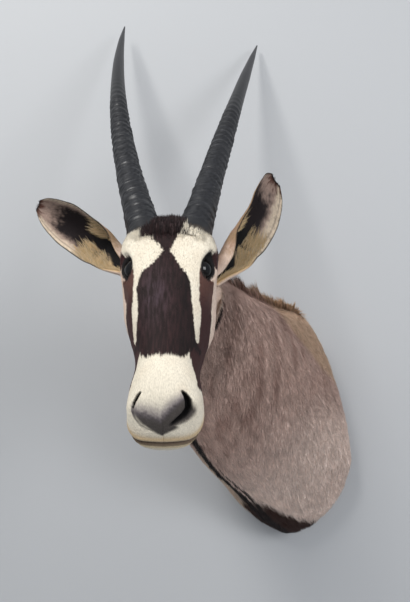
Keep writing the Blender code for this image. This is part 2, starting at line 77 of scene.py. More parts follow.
# Half widths of the ears and the angle of their curl in degrees, by share of the length
EAR_SHARES = (0.00, 0.10, 0.22, 0.36, 0.50, 0.62, 0.75, 0.87, 0.95, 1.00)
EAR_HALF_WIDTHS = {
    "ear_right": (0.017, 0.020, 0.026, 0.034, 0.0405, 0.0425, 0.041, 0.034, 0.0245, 0.011),
    "ear_left": (0.017, 0.020, 0.027, 0.036, 0.0430, 0.0460, 0.0475, 0.0435, 0.0350, 0.017),
}
EAR_CURL = (150, 146, 128, 98, 76, 66, 58, 50, 44, 40)
EAR_RINGS = 64
EAR_COLUMNS = 41
# Root, tip, the way the ear opens and how far its middle bows, all in the world
EARS = {
    "ear_right": ((-0.286, -0.470, 0.254), (-0.4675, -0.4429, 0.3815), (-0.05, -0.85, -0.50),
                  (0.000, 0.000, -0.007)),
    "ear_left": ((-0.162, -0.472, 0.240), (-0.0405, -0.4286, 0.4330), (0.53, -0.71, -0.46),
                 (0.026, 0.000, -0.014)),
}

# Cross sections of the head: top (u, v), bottom (u, v), lean of the bottom to the left, height of the
# widest place, half width, and how square the halves above and below it are
HEAD_RINGS = (
    ("nose_tip", (0.2665, -0.0460), (0.2665, -0.0465), 0.001, 0.50, 0.0006, 2.0, 2.0),
    ("lip_4", (0.2640, -0.0340), (0.2655, -0.0590), 0.001, 0.50, 0.0230, 2.3, 2.2),
    ("lip_3", (0.2590, -0.0200), (0.2625, -0.0700), 0.001, 0.52, 0.0360, 2.4, 2.0),
    ("lip_2", (0.2515, -0.0080), (0.2540, -0.0770), 0.002, 0.54, 0.0440, 2.4, 1.85),
    ("lip_1", (0.2400, 0.0060), (0.2400, -0.0800), 0.003, 0.55, 0.0495, 2.4, 1.85),
    ("nostril", (0.2250, 0.0200), (0.2210, -0.0795), 0.004, 0.55, 0.0515, 2.3, 2.0),
    ("lip_corner", (0.2050, 0.0290), (0.1990, -0.0770), 0.006, 0.55, 0.0505, 2.2, 2.0),
    ("waist", (0.1750, 0.0340), (0.1690, -0.0770), 0.008, 0.53, 0.0460, 2.2, 2.0),
    ("nasal", (0.1400, 0.0380), (0.1340, -0.0840), 0.010, 0.50, 0.0520, 2.2, 1.9),
    ("cheek", (0.1000, 0.0410), (0.0960, -0.0970), 0.011, 0.50, 0.0640, 2.3, 1.85),
    ("tear", (0.0600, 0.0450), (0.0640, -0.1130), 0.008, 0.56, 0.0710, 2.4, 1.85),
    ("eye", (0.0000, 0.0500), (0.0420, -0.1300), 0.004, 0.68, 0.0765, 2.6, 1.8),
    ("brow", (-0.0450, 0.0480), (0.0300, -0.1450), 0.003, 0.74, 0.0800, 3.1, 1.8),
    ("crown", (-0.0780, 0.0340), (0.0200, -0.1550), 0.003, 0.70, 0.0780, 3.0, 1.9),
    ("poll", (-0.1080, 0.0040), (0.0120, -0.1630), 0.004, 0.60, 0.0730, 2.1, 2.0),
    ("nape", (-0.1350, -0.0520), (0.0100, -0.1720), 0.006, 0.52, 0.0780, 2.0, 2.0),
)
# Cross sections of the neck and shoulder: top and bottom (x, y, z), height of the widest place, half
# width, turn of the sideways axis in degrees, and how square the halves above and below it are
BODY_RINGS = (
    ("throat", (-0.205, -0.365, 0.300), (-0.224, -0.365, 0.105), 0.50, 0.086, 12, 2.0, 2.0),
    ("neck_top", (-0.150, -0.330, 0.266), (-0.207, -0.330, 0.022), 0.48, 0.094, 22, 1.9, 2.0),
    ("neck_mid", (-0.085, -0.285, 0.240), (-0.175, -0.278, -0.064), 0.46, 0.106, 29, 1.8, 2.0),
    ("neck_low", (-0.030, -0.225, 0.227), (-0.132, -0.205, -0.138), 0.42, 0.120, 29, 1.65, 2.0),
    ("breast", (0.024, -0.165, 0.222), (-0.070, -0.130, -0.210), 0.38, 0.130, 23, 1.50, 2.0),
    ("brisket", (0.055, -0.115, 0.214), (-0.016, -0.090, -0.274), 0.35, 0.141, 14, 1.42, 1.85),
    ("shoulder", (0.068, -0.070, 0.204), (0.030, -0.055, -0.314), 0.34, 0.142, 6, 1.40, 1.75),
    ("wall", (0.070, -0.0183, 0.190), (0.038, -0.0183, -0.312), 0.34, 0.136, 0, 1.40, 1.70),
)

# Swellings and hollows, alike on both sides: centre (u, v, w), reach (u, v, w), height
HEAD_FEATURES = (
    ("brow_ridge", (-0.020, 0.040, 0.062), (0.026, 0.014, 0.024), 0.0035),
    ("tear_hollow", (0.052, 0.004, 0.066), (0.024, 0.013, 0.026), -0.0040),
    ("eyelid_dome", (0.011, 0.025, 0.066), (0.0190, 0.0175, 0.030), 0.0034),
    ("cheek_muscle", (0.010, -0.078, 0.062), (0.036, 0.030, 0.030), 0.0060),
    ("cheek_ridge", (0.085, -0.022, 0.062), (0.045, 0.012, 0.025), 0.0025),
    ("nostril_wing", (0.232, 0.000, 0.042), (0.014, 0.016, 0.016), 0.0030),
    ("lip_roll", (0.225, -0.034, 0.050), (0.030, 0.009, 0.022), 0.0022),
    ("chin_hollow", (0.205, -0.058, 0.048), (0.030, 0.014, 0.026), -0.0030),
    ("horn_stalk", (-0.060, 0.044, 0.038), (0.024, 0.022, 0.024), 0.0040),
    ("ear_root", (-0.066, -0.028, 0.078), (0.024, 0.024, 0.030), 0.0060),
    ("temple_hollow", (-0.020, -0.020, 0.080), (0.022, 0.016, 0.024), -0.0020),
    ("jaw_groove", (0.060, -0.052, 0.064), (0.060, 0.010, 0.024), -0.0022),
    ("nasal_side", (0.150, 0.012, 0.050), (0.040, 0.010, 0.020), -0.0016),
)
# Nostril slits of the animal's left and right: points (u, v, w) on the skin, half widths and depths.
# The right one is open at its top only and goes on as a shallow crease
NOSTRILS = {
    1: (((0.2180, 0.0190, 0.0265), (0.2220, 0.0160, 0.0310), (0.2280, 0.0100, 0.0345),
         (0.2360, 0.0030, 0.0345), (0.2425, -0.0010, 0.0285), (0.2470, -0.0050, 0.0200),
         (0.2510, -0.0090, 0.0120), (0.2530, -0.0110, 0.0080)),
        (0.0018, 0.0032, 0.0046, 0.0052, 0.0044, 0.0032, 0.0020, 0.0010),
        (0.004, 0.009, 0.013, 0.014, 0.012, 0.009, 0.005, 0.001)),
    -1: (((0.2180, 0.0175, -0.0290), (0.2220, 0.0145, -0.0330), (0.2280, 0.0090, -0.0370),
          (0.2360, 0.0010, -0.0400), (0.2440, -0.0060, -0.0365), (0.2510, -0.0120, -0.0290),
          (0.2550, -0.0160, -0.0200), (0.2570, -0.0180, -0.0120)),
         (0.0013, 0.0025, 0.0021, 0.0011, 0.0010, 0.0010, 0.0009, 0.0007),
         (0.004, 0.010, 0.008, 0.0022, 0.0014, 0.0012, 0.0010, 0.0005)),
}
NOSTRIL_CORE = (0.205, -0.020)
MOUTH_V = -0.0355
MOUTH_BACK = 0.185
MOUTH_CORNER = 0.225
MOUTH_HALF_WIDTH = 0.0525
MOUTH_DEPTH = 0.0048
UPPER_LIP_RISE = 0.0011
LOWER_LIP_RISE = 0.0009
NOSTRIL_WING_RISE = 0.0006
GROOVE_DEPTH = 0.0010
PORE_DEPTH = 0.00022

# Rings of the skin: where each stretch of places ends and the spacing in it
SKIN_STRETCHES = ((0.26, 0.0022), (0.60, 0.0038), (0.74, 0.0022), (1.02, 0.0042), (2.1961, 0.0070))
SKIN_SIDES = 288
# How deep the skin lies under the solids' outline, by place, to leave room for the coat
SKIN_DEPTH_PLACES = (0.0, 0.25, 0.65, 0.95, 1.2, 2.0, 2.2)
SKIN_DEPTHS = (0.0004, 0.0007, 0.0010, 0.0022, 0.0035, 0.0040, 0.0030)
SKIN_START = 0.0012
SKIN_WALL_Y = -0.0186
# Slight unevenness of the skin: height, size and seed
SKIN_RIPPLES = ((0.0011, 0.034, 2), (0.0005, 0.013, 3))


def head_axes():
    """The head frame's three axes in the world."""
    face = np.array([-sin(HEAD_YAW), -cos(HEAD_YAW), 0.0])
    side = np.array([cos(HEAD_YAW), -sin(HEAD_YAW), 0.0])
    up = np.array([0.0, 0.0, 1.0])
    nose = cos(HEAD_PITCH) * face - sin(HEAD_PITCH) * up
    top = sin(HEAD_PITCH) * face + cos(HEAD_PITCH) * up
    return nose, cos(HEAD_ROLL) * top + sin(HEAD_ROLL) * side, cos(HEAD_ROLL) * side - sin(HEAD_ROLL) * top


NOSE_WAY, TOP_WAY, LEFT_WAY = head_axes()


def head_point(u, v, w=0.0):
    """World position of a place in the head frame; u, v and w may be arrays."""
    u, v, w = (np.asarray(value, dtype=float)[..., None] for value in (u, v, w))
    return np.array(HEAD_ORIGIN) + u * NOSE_WAY + v * TOP_WAY + w * LEFT_WAY


def in_head_frame(points):
    """Head-frame coordinates of world points."""
    away = points - np.array(HEAD_ORIGIN)
    return np.stack([away @ NOSE_WAY, away @ TOP_WAY, away @ LEFT_WAY], axis=-1)


def unit(vectors):
    """Vectors scaled to length 1 along the last axis."""
    return vectors / np.maximum(np.linalg.norm(vectors, axis=-1, keepdims=True), 1e-9)


def smooth(low, high, value):
    """0 below low, 1 above high and a smooth step between them."""
    share = np.clip((value - low) / (high - low), 0.0, 1.0)
    return share * share * (3 - 2 * share)


def over(value, rise, fall):
    """A smooth step up between the two values of rise and down between those of fall."""
    return smooth(*rise, value) * smooth(*fall, value)


def linear(red, green, blue):
    """Linear colour of an sRGB colour given from 0 to 255."""
    value = np.array([red, green, blue]) / 255
    return np.where(value > 0.04045, ((value + 0.055) / 1.055) ** 2.4, value / 12.92)


def mix(first, second, share):
    """Blend of two arrays of colours."""
    share = np.asarray(share)[..., None]
    return first * (1 - share) + second * share


LATTICE_PRIMES = (73856093, 19349663, 83492791)


def lattice_noise(points, seed):
    """Smooth noise from -1 to 1 at points in units of its own cells."""
    cell = np.floor(points).astype(np.int64)
    away = points - cell
    away = away * away * (3 - 2 * away)
    total = 0.0
    for corner in np.ndindex(*(2,) * points.shape[-1]):
        index = cell + np.array(corner)
        key = np.zeros(index.shape[:-1], dtype=np.int64) + seed * 7919
        for axis, prime in zip(range(points.shape[-1]), LATTICE_PRIMES):
            key = key ^ (index[..., axis] * prime)
        key = (key * 1103515245 + 12345) & 0x7FFFFFFF
        key = ((key >> 7) * 69069 + 1) & 0x7FFFFFFF
        weight = np.prod(np.where(np.array(corner) == 1, away, 1 - away), axis=-1)
        total = total + weight * (key / 0x3FFFFFFF - 1.0)
    return total


def noise_of(first, second, seed):
    """Smooth noise over two measures, each in units of its own cells."""
    return lattice_noise(np.stack([first, second], axis=-1), seed)


def bell(distance, reach):
    """1 in the middle and 0 well beyond the reach."""
    return np.exp(-(distance / reach) ** 2)


def key_sections():
    """Every named cross section as one row: top, bottom, sideways axis and four shape numbers."""
    rows = []
    for _, top, bottom, lean, widest, half_width, upper, lower in HEAD_RINGS:
        ends = (*head_point(*top), *head_point(*bottom, lean))
        rows.append((*ends, *LEFT_WAY, widest, half_width, upper, lower))
    for _, top, bottom, widest, half_width, turn, upper, lower in BODY_RINGS:
        sideways = (cos(radians(turn)), -sin(radians(turn)), 0.0)
        rows.append((*top, *bottom, *sideways, widest, half_width, upper, lower))
    return np.array(rows)


def section_knots(rows):
    """Distance along the body of each cross section, from the nose tip to the wall."""
    steps = np.abs(np.diff(rows[:, 10]))
    steps += np.linalg.norm(np.diff(rows[:, 0:3], axis=0), axis=1)
    steps += np.linalg.norm(np.diff(rows[:, 3:6], axis=0), axis=1)
    return np.concatenate([[0.0], np.cumsum(steps)])


def smooth_rows(rows, knots, places):
    """Rows read from a smooth curve through the named cross sections."""
    first = np.clip(np.searchsorted(knots, places, side="right") - 1, 0, len(knots) - 2)
    spans = np.diff(knots)
    slopes = np.diff(rows, axis=0) / spans[:, None]
    tangents = np.vstack([slopes[:1], np.zeros_like(slopes[1:]), slopes[-1:]])
    weight = (spans[:-1] / (spans[:-1] + spans[1:]))[:, None]
    tangents[1:-1] = slopes[:-1] * (1 - weight) + slopes[1:] * weight
    span = spans[first][:, None]
    x = ((places - knots[first]) / spans[first])[:, None]
    start, end = rows[first], rows[first + 1]
    return ((2 * x**3 - 3 * x**2 + 1) * start + (x**3 - 2 * x**2 + x) * span * tangents[first]
            + (3 * x**2 - 2 * x**3) * end + (x**3 - x**2) * span * tangents[first + 1])


def section_outlines(rows, angle):
    """Closed outline of each cross section, with its centre."""
    top, bottom, sideways = rows[:, 0:3], rows[:, 3:6], unit(rows[:, 6:9])
    widest, half_width = rows[:, 9], np.maximum(rows[:, 10], 1e-4)
    height = np.linalg.norm(top - bottom, axis=1)
    upward = unit(top - bottom)
    centre = bottom + widest[:, None] * (top - bottom)
    across, along = np.cos(angle)[None, :], np.sin(angle)[None, :]
    power = 2.0 / np.where(along >= 0, rows[:, 11:12], rows[:, 12:13])
    reach = np.where(along >= 0, ((1 - widest) * height)[:, None], (widest * height)[:, None])
    x = half_width[:, None] * np.sign(across) * np.abs(across) ** power
    z = reach * np.sign(along) * np.abs(along) ** power
    outline = centre[:, None] + x[..., None] * sideways[:, None] + z[..., None] * upward[:, None]
    return outline, centre


def even_angles(rows, sides):
    """Angles that cut a typical head section into about equal lengths, top and bottom included."""
    fine = np.linspace(0.0, 2 * pi, 4001)
    ring, _ = section_outlines(rows, fine)
    length = np.linalg.norm(np.diff(ring, axis=1), axis=2).mean(axis=0)
    total = np.concatenate([[0.0], np.cumsum(length)])
    quarter = np.interp(pi / 2 * np.arange(5), fine, total)
    angles = []
    for part in range(4):
        steps = np.linspace(quarter[part], quarter[part + 1], sides // 4, endpoint=False)
        angles.append(np.interp(steps, total, fine))
    return np.concatenate(angles)


def grid_normals(grid, centre):
    """Outward normals of a grid of closed rings."""
    along = np.gradient(grid, axis=0)
    around = np.roll(grid, -1, axis=1) - np.roll(grid, 1, axis=1)
    outward = unit(np.cross(along, around))
    return outward * np.sign(np.sum(outward * (grid - centre[:, None]), axis=-1, keepdims=True))


def feature_height(local):
    """Height of the head's swellings and hollows at head-frame points."""
    height = np.zeros(local.shape[:-1])
    mirrored = local.copy()
    mirrored[..., 2] = np.abs(mirrored[..., 2])
    for _, centre, reach, amount in HEAD_FEATURES:
        distance = (mirrored - np.array(centre)) / np.array(reach)
        height += amount * np.exp(-np.sum(distance**2, axis=-1))
    return height


def eye_axes(side):
    """Centre of an eye, the way it looks, and the long and short ways of its opening."""
    centre = head_point(EYE_CENTRE[0], EYE_CENTRE[1], side * EYE_CENTRE[2])
    look = unit(EYE_LOOK[0] * NOSE_WAY + EYE_LOOK[1] * TOP_WAY + side * EYE_LOOK[2] * LEFT_WAY)
    long_way = unit(NOSE_WAY - np.dot(NOSE_WAY, look) * look)
    short_way = np.cross(look, long_way) * side
    return centre, look, long_way, short_way


def lid_coordinates(points, side):
    """Height along the eye's look, share of the lids' opening, its direction and distance from the look."""
    centre, look, long_way, short_way = eye_axes(side)
    away = points - centre
    along, up = away @ long_way, away @ short_way
    a = (along * cos(LID_TILT) + up * sin(LID_TILT)) / LID_OPENING[0]
    b = (up * cos(LID_TILT) - along * sin(LID_TILT)) / LID_OPENING[1]
    radius = np.maximum(np.hypot(a, b), 1e-6)
    b = b / (1 - LID_SQUEEZE * np.abs(a / radius) ** 3)
    return away @ look, np.hypot(a, b), np.arctan2(b, a), np.hypot(along, up)


def sculpt_lids(points):
    """Skin drawn in to the lids' rims, with the opening sunk behind the eyeball."""
    for side in (-1, 1):
        look = eye_axes(side)[1]
        height, share, turn, reach = lid_coordinates(points, side)
        rim_reach = reach / np.maximum(share, 1e-6)
        rim = np.sqrt(np.maximum(EYE_RADIUS**2 - rim_reach**2, 0.0)) + LID_CLEARANCE
        before = (height > 0) * (reach < NEAR_EYE)
        near = smooth(1.85, 1.04, share) * before
        wanted = rim + LID_ROLL * smooth(0.16, 0.0, np.abs(share - 1.14))
        wanted = wanted - SOCKET_DEPTH * smooth(1.0, 0.80, share)
        crease = LID_CREASE * smooth(0.20, 0.0, np.abs(share - 1.55)) * smooth(-0.2, 0.5, np.sin(turn))
        crease = crease * before
        points = points + (near * (wanted - height) - crease)[..., None] * look
    return points


def nostril_share(local):
    """Distance from the nostrils' slits in their own half widths, and the depth there."""
    flat = local.reshape(-1, 3)
    share = np.full(len(flat), 99.0)
    deep = np.zeros(len(flat))
    for side, (path, widths, depths) in NOSTRILS.items():
        steps = np.arange(len(path))
        fine = np.linspace(0, steps[-1], 71)
        curve = np.stack([np.interp(fine, steps, np.array(path)[:, axis]) for axis in range(3)], axis=1)
        width, depth = np.interp(fine, steps, widths), np.interp(fine, steps, depths)
        close = np.where((flat[:, 0] > 0.19) & (flat[:, 1] > -0.05) & (flat[:, 2] * side > 0))[0]
        gap = np.linalg.norm(flat[close, None] - curve[None], axis=2) / width[None]
        nearest = gap.argmin(axis=1)
        share[close] = gap[np.arange(len(close)), nearest]
        deep[close] = depth[nearest]
    return np.stack([share, deep], axis=-1).reshape(*local.shape[:-1], 2)


def mouth_height(local):
    """Height above the line of the mouth, and 1 where the line runs, fading out at its corners."""
    reach = np.clip(np.abs(local[..., 2]) / MOUTH_HALF_WIDTH, 0.0, 1.0)
    back = np.clip((MOUTH_CORNER - local[..., 0]) / 0.04, 0.0, 1.0)
    line = MOUTH_V - 0.003 * (1 - reach) - 0.006 * reach**2 - 0.006 * back
    return local[..., 1] - line, smooth(MOUTH_BACK, MOUTH_BACK + 0.012, local[..., 0])


def sculpt_muzzle(points, outward, nostril):
    """Nostrils, lips, the groove under the nose and small folds."""
    local = in_head_frame(points)
    share, depth = nostril[..., 0], nostril[..., 1]
    side = np.sign(local[..., 2])
    core = head_point(np.full(side.shape, NOSTRIL_CORE[0]), np.full(side.shape, NOSTRIL_CORE[1]),
                      local[..., 2] * 0.6)
    points = points + (depth * smooth(1.25, 0.45, share))[..., None] * unit(core - points)
    wing = NOSTRIL_WING_RISE * over(share, (1.1, 1.7), (3.4, 1.9)) * smooth(0.002, 0.010, depth)
    height, there = mouth_height(local)
    lips = UPPER_LIP_RISE * bell(height - 0.0050, 0.0032) - MOUTH_DEPTH * bell(height, 0.0015)
    lips = there * (lips + LOWER_LIP_RISE * bell(height + 0.0050, 0.0034))
    groove = -GROOVE_DEPTH * bell(local[..., 2], 0.0011) * smooth(0.246, 0.256, local[..., 0])
    groove = groove * smooth(-0.040, -0.030, local[..., 1])
    pores = PORE_DEPTH * lattice_noise(local / 0.0016, 5) * smooth(0.20, 0.23, local[..., 0])
    return points + (wing + lips + groove + pores)[..., None] * outward


def skin_grid():
    """The whole skin from the nose tip to the wall: points, normals, places and the nostrils' slits."""
    rows = key_sections()
    knots = section_knots(rows)
    places = [0.0]
    for end, spacing in SKIN_STRETCHES:
        count = int(round((end - places[-1]) / spacing))
        places.extend(np.linspace(places[-1], end, count + 1)[1:])
    places = np.minimum(np.array(places), knots[-1])
    places[0] = SKIN_START
    angles = even_angles(rows[5:14], SKIN_SIDES)
    grid, centre = section_outlines(smooth_rows(rows, knots, places), angles)
    head_end = knots[len(HEAD_RINGS) - 1]
    fade = np.clip((head_end - places) / 0.03, 0.0, 1.0)
    outward = unit(grid - centre[:, None])
    grid = grid + (feature_height(in_head_frame(grid)) * fade[:, None])[..., None] * outward
    depth = np.interp(places, SKIN_DEPTH_PLACES, SKIN_DEPTHS)
    outward = grid_normals(grid, centre)
    grid = grid - depth[:, None, None] * outward
    grid[-1, :, 1] = SKIN_WALL_Y
    nostril = nostril_share(in_head_frame(grid))
    grid = sculpt_muzzle(sculpt_lids(grid), outward, nostril)
    ripple = sum(height * lattice_noise(grid / size, seed) for height, size, seed in SKIN_RIPPLES)
    ripple = ripple * over(places, (0.05, 0.5), (2.19, 2.1))[:, None]
    for side in (-1, 1):
        ripple = ripple * smooth(0.03, 0.05, np.linalg.norm(grid - eye_axes(side)[0], axis=2))
    grid = grid + ripple[..., None] * outward
    return grid, grid_normals(grid, centre), places, nostril


def girths(grid):
    """Signed distance round each ring from its top, positive to the animal's left."""
    sides = grid.shape[1]
    top = sides // 4
    step = np.linalg.norm(np.roll(grid, -1, axis=1) - grid, axis=2)
    girth = np.zeros(grid.shape[:2])
    for count in range(1, sides // 2 + 1):
        here = (top - count) % sides
        girth[:, here] = girth[:, (here + 1) % sides] + step[:, here]
    for count in range(1, sides // 2):
        here = (top + count) % sides
        girth[:, here] = girth[:, (here - 1) % sides] - step[:, (here - 1) % sides]
    return girth


# Markings of the face, by the way along it (u) and the girth: the blaze with its lower end, the
# stripe through the eye with its end on the jaw, and the nose pad
BLAZE_U = (-0.110, -0.080, -0.056, -0.040, -0.026, -0.011, -0.003, 0.010, 0.021, 0.028, 0.036, 0.046,
           0.058, 0.080, 0.100, 0.124, 0.138, 0.144)
BLAZE_RIGHT = (0.062, 0.058, 0.050, 0.038, 0.024, 0.010, 0.005, 0.013, 0.023, 0.033, 0.039, 0.042,
               0.045, 0.043, 0.042, 0.047, 0.051, 0.070)
BLAZE_LEFT = (0.060, 0.046, 0.029, 0.021, 0.013, 0.006, 0.004, 0.012, 0.018, 0.021, 0.028, 0.034,
              0.037, 0.039, 0.042, 0.047, 0.052, 0.070)
BLAZE_END_GIRTH = (0.000, 0.023, 0.032, 0.038, 0.050)
BLAZE_END_U = (0.170, 0.171, 0.167, 0.161, 0.150)
STRIPE_U = (-0.060, -0.023, 0.001, 0.020, 0.026, 0.040, 0.062, 0.076, 0.086, 0.113, 0.137, 0.142)
STRIPE_INNER = (0.106, 0.087, 0.068, 0.053, 0.051, 0.051, 0.052, 0.052, 0.056, 0.058, 0.060, 0.040)
STRIPE_OUTER_U = (-0.060, -0.035, -0.023, 0.000, 0.024, 0.045, 0.074, 0.100, 0.118, 0.128, 0.140, 0.150)
STRIPE_OUTER = (0.104, 0.108, 0.110, 0.104, 0.092, 0.095, 0.086, 0.087, 0.093, 0.108, 0.150, 0.400)
JAW_GIRTH = (0.030, 0.038, 0.045, 0.052, 0.054, 0.070, 0.100, 0.130, 0.170, 0.230)
JAW_U = (0.170, 0.160, 0.170, 0.186, 0.204, 0.206, 0.200, 0.188, 0.172, 0.165)
PAD_U = (0.215, 0.222, 0.230, 0.236, 0.242, 0.249, 0.255, 0.2585, 0.2605)
PAD_RIGHT = (0.026, 0.033, 0.037, 0.0400, 0.0345, 0.0260, 0.0145, 0.0060, -0.004)
PAD_LEFT = (0.026, 0.034, 0.042, 0.0430, 0.0405, 0.0330, 0.0205, 0.0090, -0.002)
PAD_MIDDLE = -0.003
# Half breadths of the soft edges
EDGE = 0.0009
JAW_EDGE = 0.0016
BLAZE_END_EDGE = 0.0026
PAD_EDGE = 0.0045

# Markings of the neck by place: half the breadth of the dark breast, the middle of the black line
# under the throat, and half the breadth of the pale withers
BRISKET_PLACES = (1.84, 1.95, 2.09, 2.20)
BRISKET_REACH = (0.018, 0.045, 0.078, 0.105)
THROAT_LINE_PLACES = (1.00, 1.35, 1.60, 1.85, 2.20)
THROAT_LINE = (-0.020, -0.015, -0.007, -0.001, 0.004)
WITHERS_PLACES = (1.5, 1.65, 1.85, 2.2)
WITHERS_GIRTH = (0.045, 0.085, 0.145, 0.190)
# Place of the line behind the jaw, where the neck's colours begin
NECK_START = 0.985

CREAM = linear(228, 219, 200)
CREAM_SHADE = linear(218, 205, 184)
CHEEK = linear(212, 190, 174)
BLAZE = linear(37, 20, 20)
# Colour of a painted highlight on the blaze
BLAZE_PAINTED_HIGHLIGHT = linear(84, 72, 82)
STRIPE = linear(56, 32, 31)
STRIPE_UNDER_EYE = linear(84, 56, 49)
PAD_PALE = linear(100, 91, 103)
PAD = linear(33, 26, 31)
# Painted shade: black in the depth of the nostrils and the ear's slit
HOLLOW_PAINTED_SHADE = linear(10, 8, 9)
LIP = linear(66, 40, 27)
LIP_MARGIN = linear(186, 156, 110)
LOWER_LIP = linear(214, 190, 150)
NECK = linear(206, 176, 163)
NECK_SHADE = linear(170, 139, 127)
# Paler lower shoulder, partly its own coat and partly painted light
SHOULDER_PALE_AND_PAINTED_LIGHT = linear(230, 210, 198)
WITHERS = linear(206, 176, 148)
DARK_LINE = linear(30, 22, 21)
BRISKET = linear(58, 37, 31)
# Painted light: a pale strip on the throat's right side
THROAT_PAINTED_LIGHT = linear(226, 202, 180)
MANE_DARK = linear(50, 36, 30)
MANE_TAN = linear(172, 142, 108)
EYE_SKIN = linear(17, 13, 13)


def by_side(girth, at, places, right, left):
    """Value read at a place from the row of the animal's right or left side."""
    return np.where(girth < 0, np.interp(at, places, right), np.interp(at, places, left))


def face_colour(points, u, place, girth, jitter):
    """The face mask: white, cheek, eye stripe and blaze with a painted highlight, and the nape behind the
    horns.
    """
    fray = 0.0032 * noise_of(girth / 0.0012, u / 0.015, 17)
    u_edge = u + 1.3 * jitter + fray
    far = np.abs(girth) + jitter

    blaze = smooth(EDGE, -EDGE, far - by_side(girth, u_edge, BLAZE_U, BLAZE_RIGHT, BLAZE_LEFT))
    past_blaze = u_edge - np.interp(far, BLAZE_END_GIRTH, BLAZE_END_U)
    blaze = blaze * smooth(BLAZE_END_EDGE, -BLAZE_END_EDGE, past_blaze)
    stripe = smooth(-EDGE, EDGE, far - np.interp(u_edge, STRIPE_U, STRIPE_INNER))
    stripe = stripe * smooth(EDGE, -EDGE, far - np.interp(u_edge, STRIPE_OUTER_U, STRIPE_OUTER))
    stripe = stripe * smooth(JAW_EDGE, -JAW_EDGE, u_edge - np.interp(far, JAW_GIRTH, JAW_U))
    stripe = stripe * smooth(-0.070, -0.056, u)

    shade = 0.5 * smooth(-0.2, 0.8, lattice_noise(points / 0.018, 13))
    colour = mix(CREAM, CREAM_SHADE, shade)
    colour = mix(colour, CHEEK, smooth(0.080, 0.095, far) * smooth(0.150, 0.120, u))
    under_eye = smooth(0.085, 0.045, u) * smooth(0.018, 0.030, u)
    colour = mix(colour, mix(STRIPE, STRIPE_UNDER_EYE, under_eye), stripe)

    streak = noise_of(girth / 0.0017, (u + 0.25 * girth) / 0.011, 14)
    streak = streak + 0.7 * noise_of(girth / 0.0034, (u - 0.3 * girth) / 0.016, 16)
    # A bluish highlight is painted on the upper blaze; the blaze is also darker towards the animal's left.
    highlight_spot = bell(girth + 0.016, 0.020) * bell(u - 0.075, 0.045)
    dark = mix(BLAZE * 0.62, BLAZE * 1.7, smooth(-0.9, 1.3, streak))
    dark = mix(dark, BLAZE_PAINTED_HIGHLIGHT, 0.45 * highlight_spot * smooth(-0.6, 1.0, streak))
    dark = dark * (1 - 0.45 * smooth(0.0, 0.034, girth))[..., None]
    colour = mix(colour, dark, blaze)
    behind_horns = smooth(0.80, 0.86, place + 0.4 * jitter) * smooth(0.100, 0.070, np.abs(girth))
    return mix(colour, NECK_SHADE, behind_horns)


def add_nose_and_mouth(colour, points, local, place, girth, jitter, nostril):
    """The face with its nose pad, nostrils and lips, and how bare they are. The nostrils' depth is painted
    black as shade.
    """
    u, v = local[..., 0], local[..., 1]
    from_middle = girth - PAD_MIDDLE
    aside = np.abs(from_middle)
    slope = np.where(from_middle < 0, 0.24, 0.66)
    below = u - 0.243 + slope * aside + 0.0016 * lattice_noise(points / 0.0030, 18)
    past_pad = aside - by_side(from_middle, u, PAD_U, PAD_RIGHT, PAD_LEFT)
    pad = smooth(-0.013, 0.006, below) * smooth(PAD_EDGE, -PAD_EDGE, past_pad) * (v > -0.03)
    share, depth = nostril[..., 0], nostril[..., 1]
    rim = smooth(2.7, 1.3, share + 120 * jitter) * smooth(0.0002, 0.0020, depth)
    pad = np.maximum(pad, rim * smooth(0.222, 0.238, u))
    colour = mix(colour, mix(PAD_PALE, PAD, smooth(-0.004, 0.010, below)), 0.94 * pad)
    # The nostrils' depth is painted black as shade.
    colour = mix(colour, HOLLOW_PAINTED_SHADE, smooth(1.30, 0.90, share) * smooth(0.0005, 0.0055, depth))

    height, there = mouth_height(local)
    there = there * (place < 0.5)
    margin = bell(height - 0.0070, 0.0050) * (1 - pad) * smooth(0.215, 0.240, u)
    colour = mix(colour, LIP_MARGIN, 0.75 * there * margin)
    lower = smooth(0.0, -0.004, height) * smooth(-0.020, -0.010, height)
    colour = mix(colour, LOWER_LIP, 0.8 * there * lower)
    wet = smooth(-0.0090, -0.0060, height) * smooth(0.0, -0.003, height)
    colour = mix(colour, LIP, 0.6 * there * wet)
    colour = mix(colour, LIP, there * bell(height, 0.0036))
    bare = np.maximum(pad * 0.9, smooth(1.8, 1.2, share) * smooth(0.0005, 0.004, depth))
    return colour, np.maximum(bare, there * bell(height, 0.0035))


def add_eye_skin(colour, points, jitter):
    """The face with the dark skin round the eyes, and how bare it is. It is wider at the left eye."""
    bare = np.zeros(colour.shape[:-1])
    for side in (-1, 1):
        tall, opening, turn, reach = lid_coordinates(points, side)
        before = (tall > 0) * (reach < 0.05)
        corners = 0.42 * bell(np.abs(turn) - pi, 0.60) + 0.60 * bell(turn + 0.9, 0.7)
        wide = corners if side > 0 else 0.0
        colour = mix(colour, EYE_SKIN, smooth(1.46, 1.26, opening - wide + 40 * jitter) * before)
        bare = np.maximum(bare, smooth(1.35, 1.20, opening) * before)
    return colour, bare


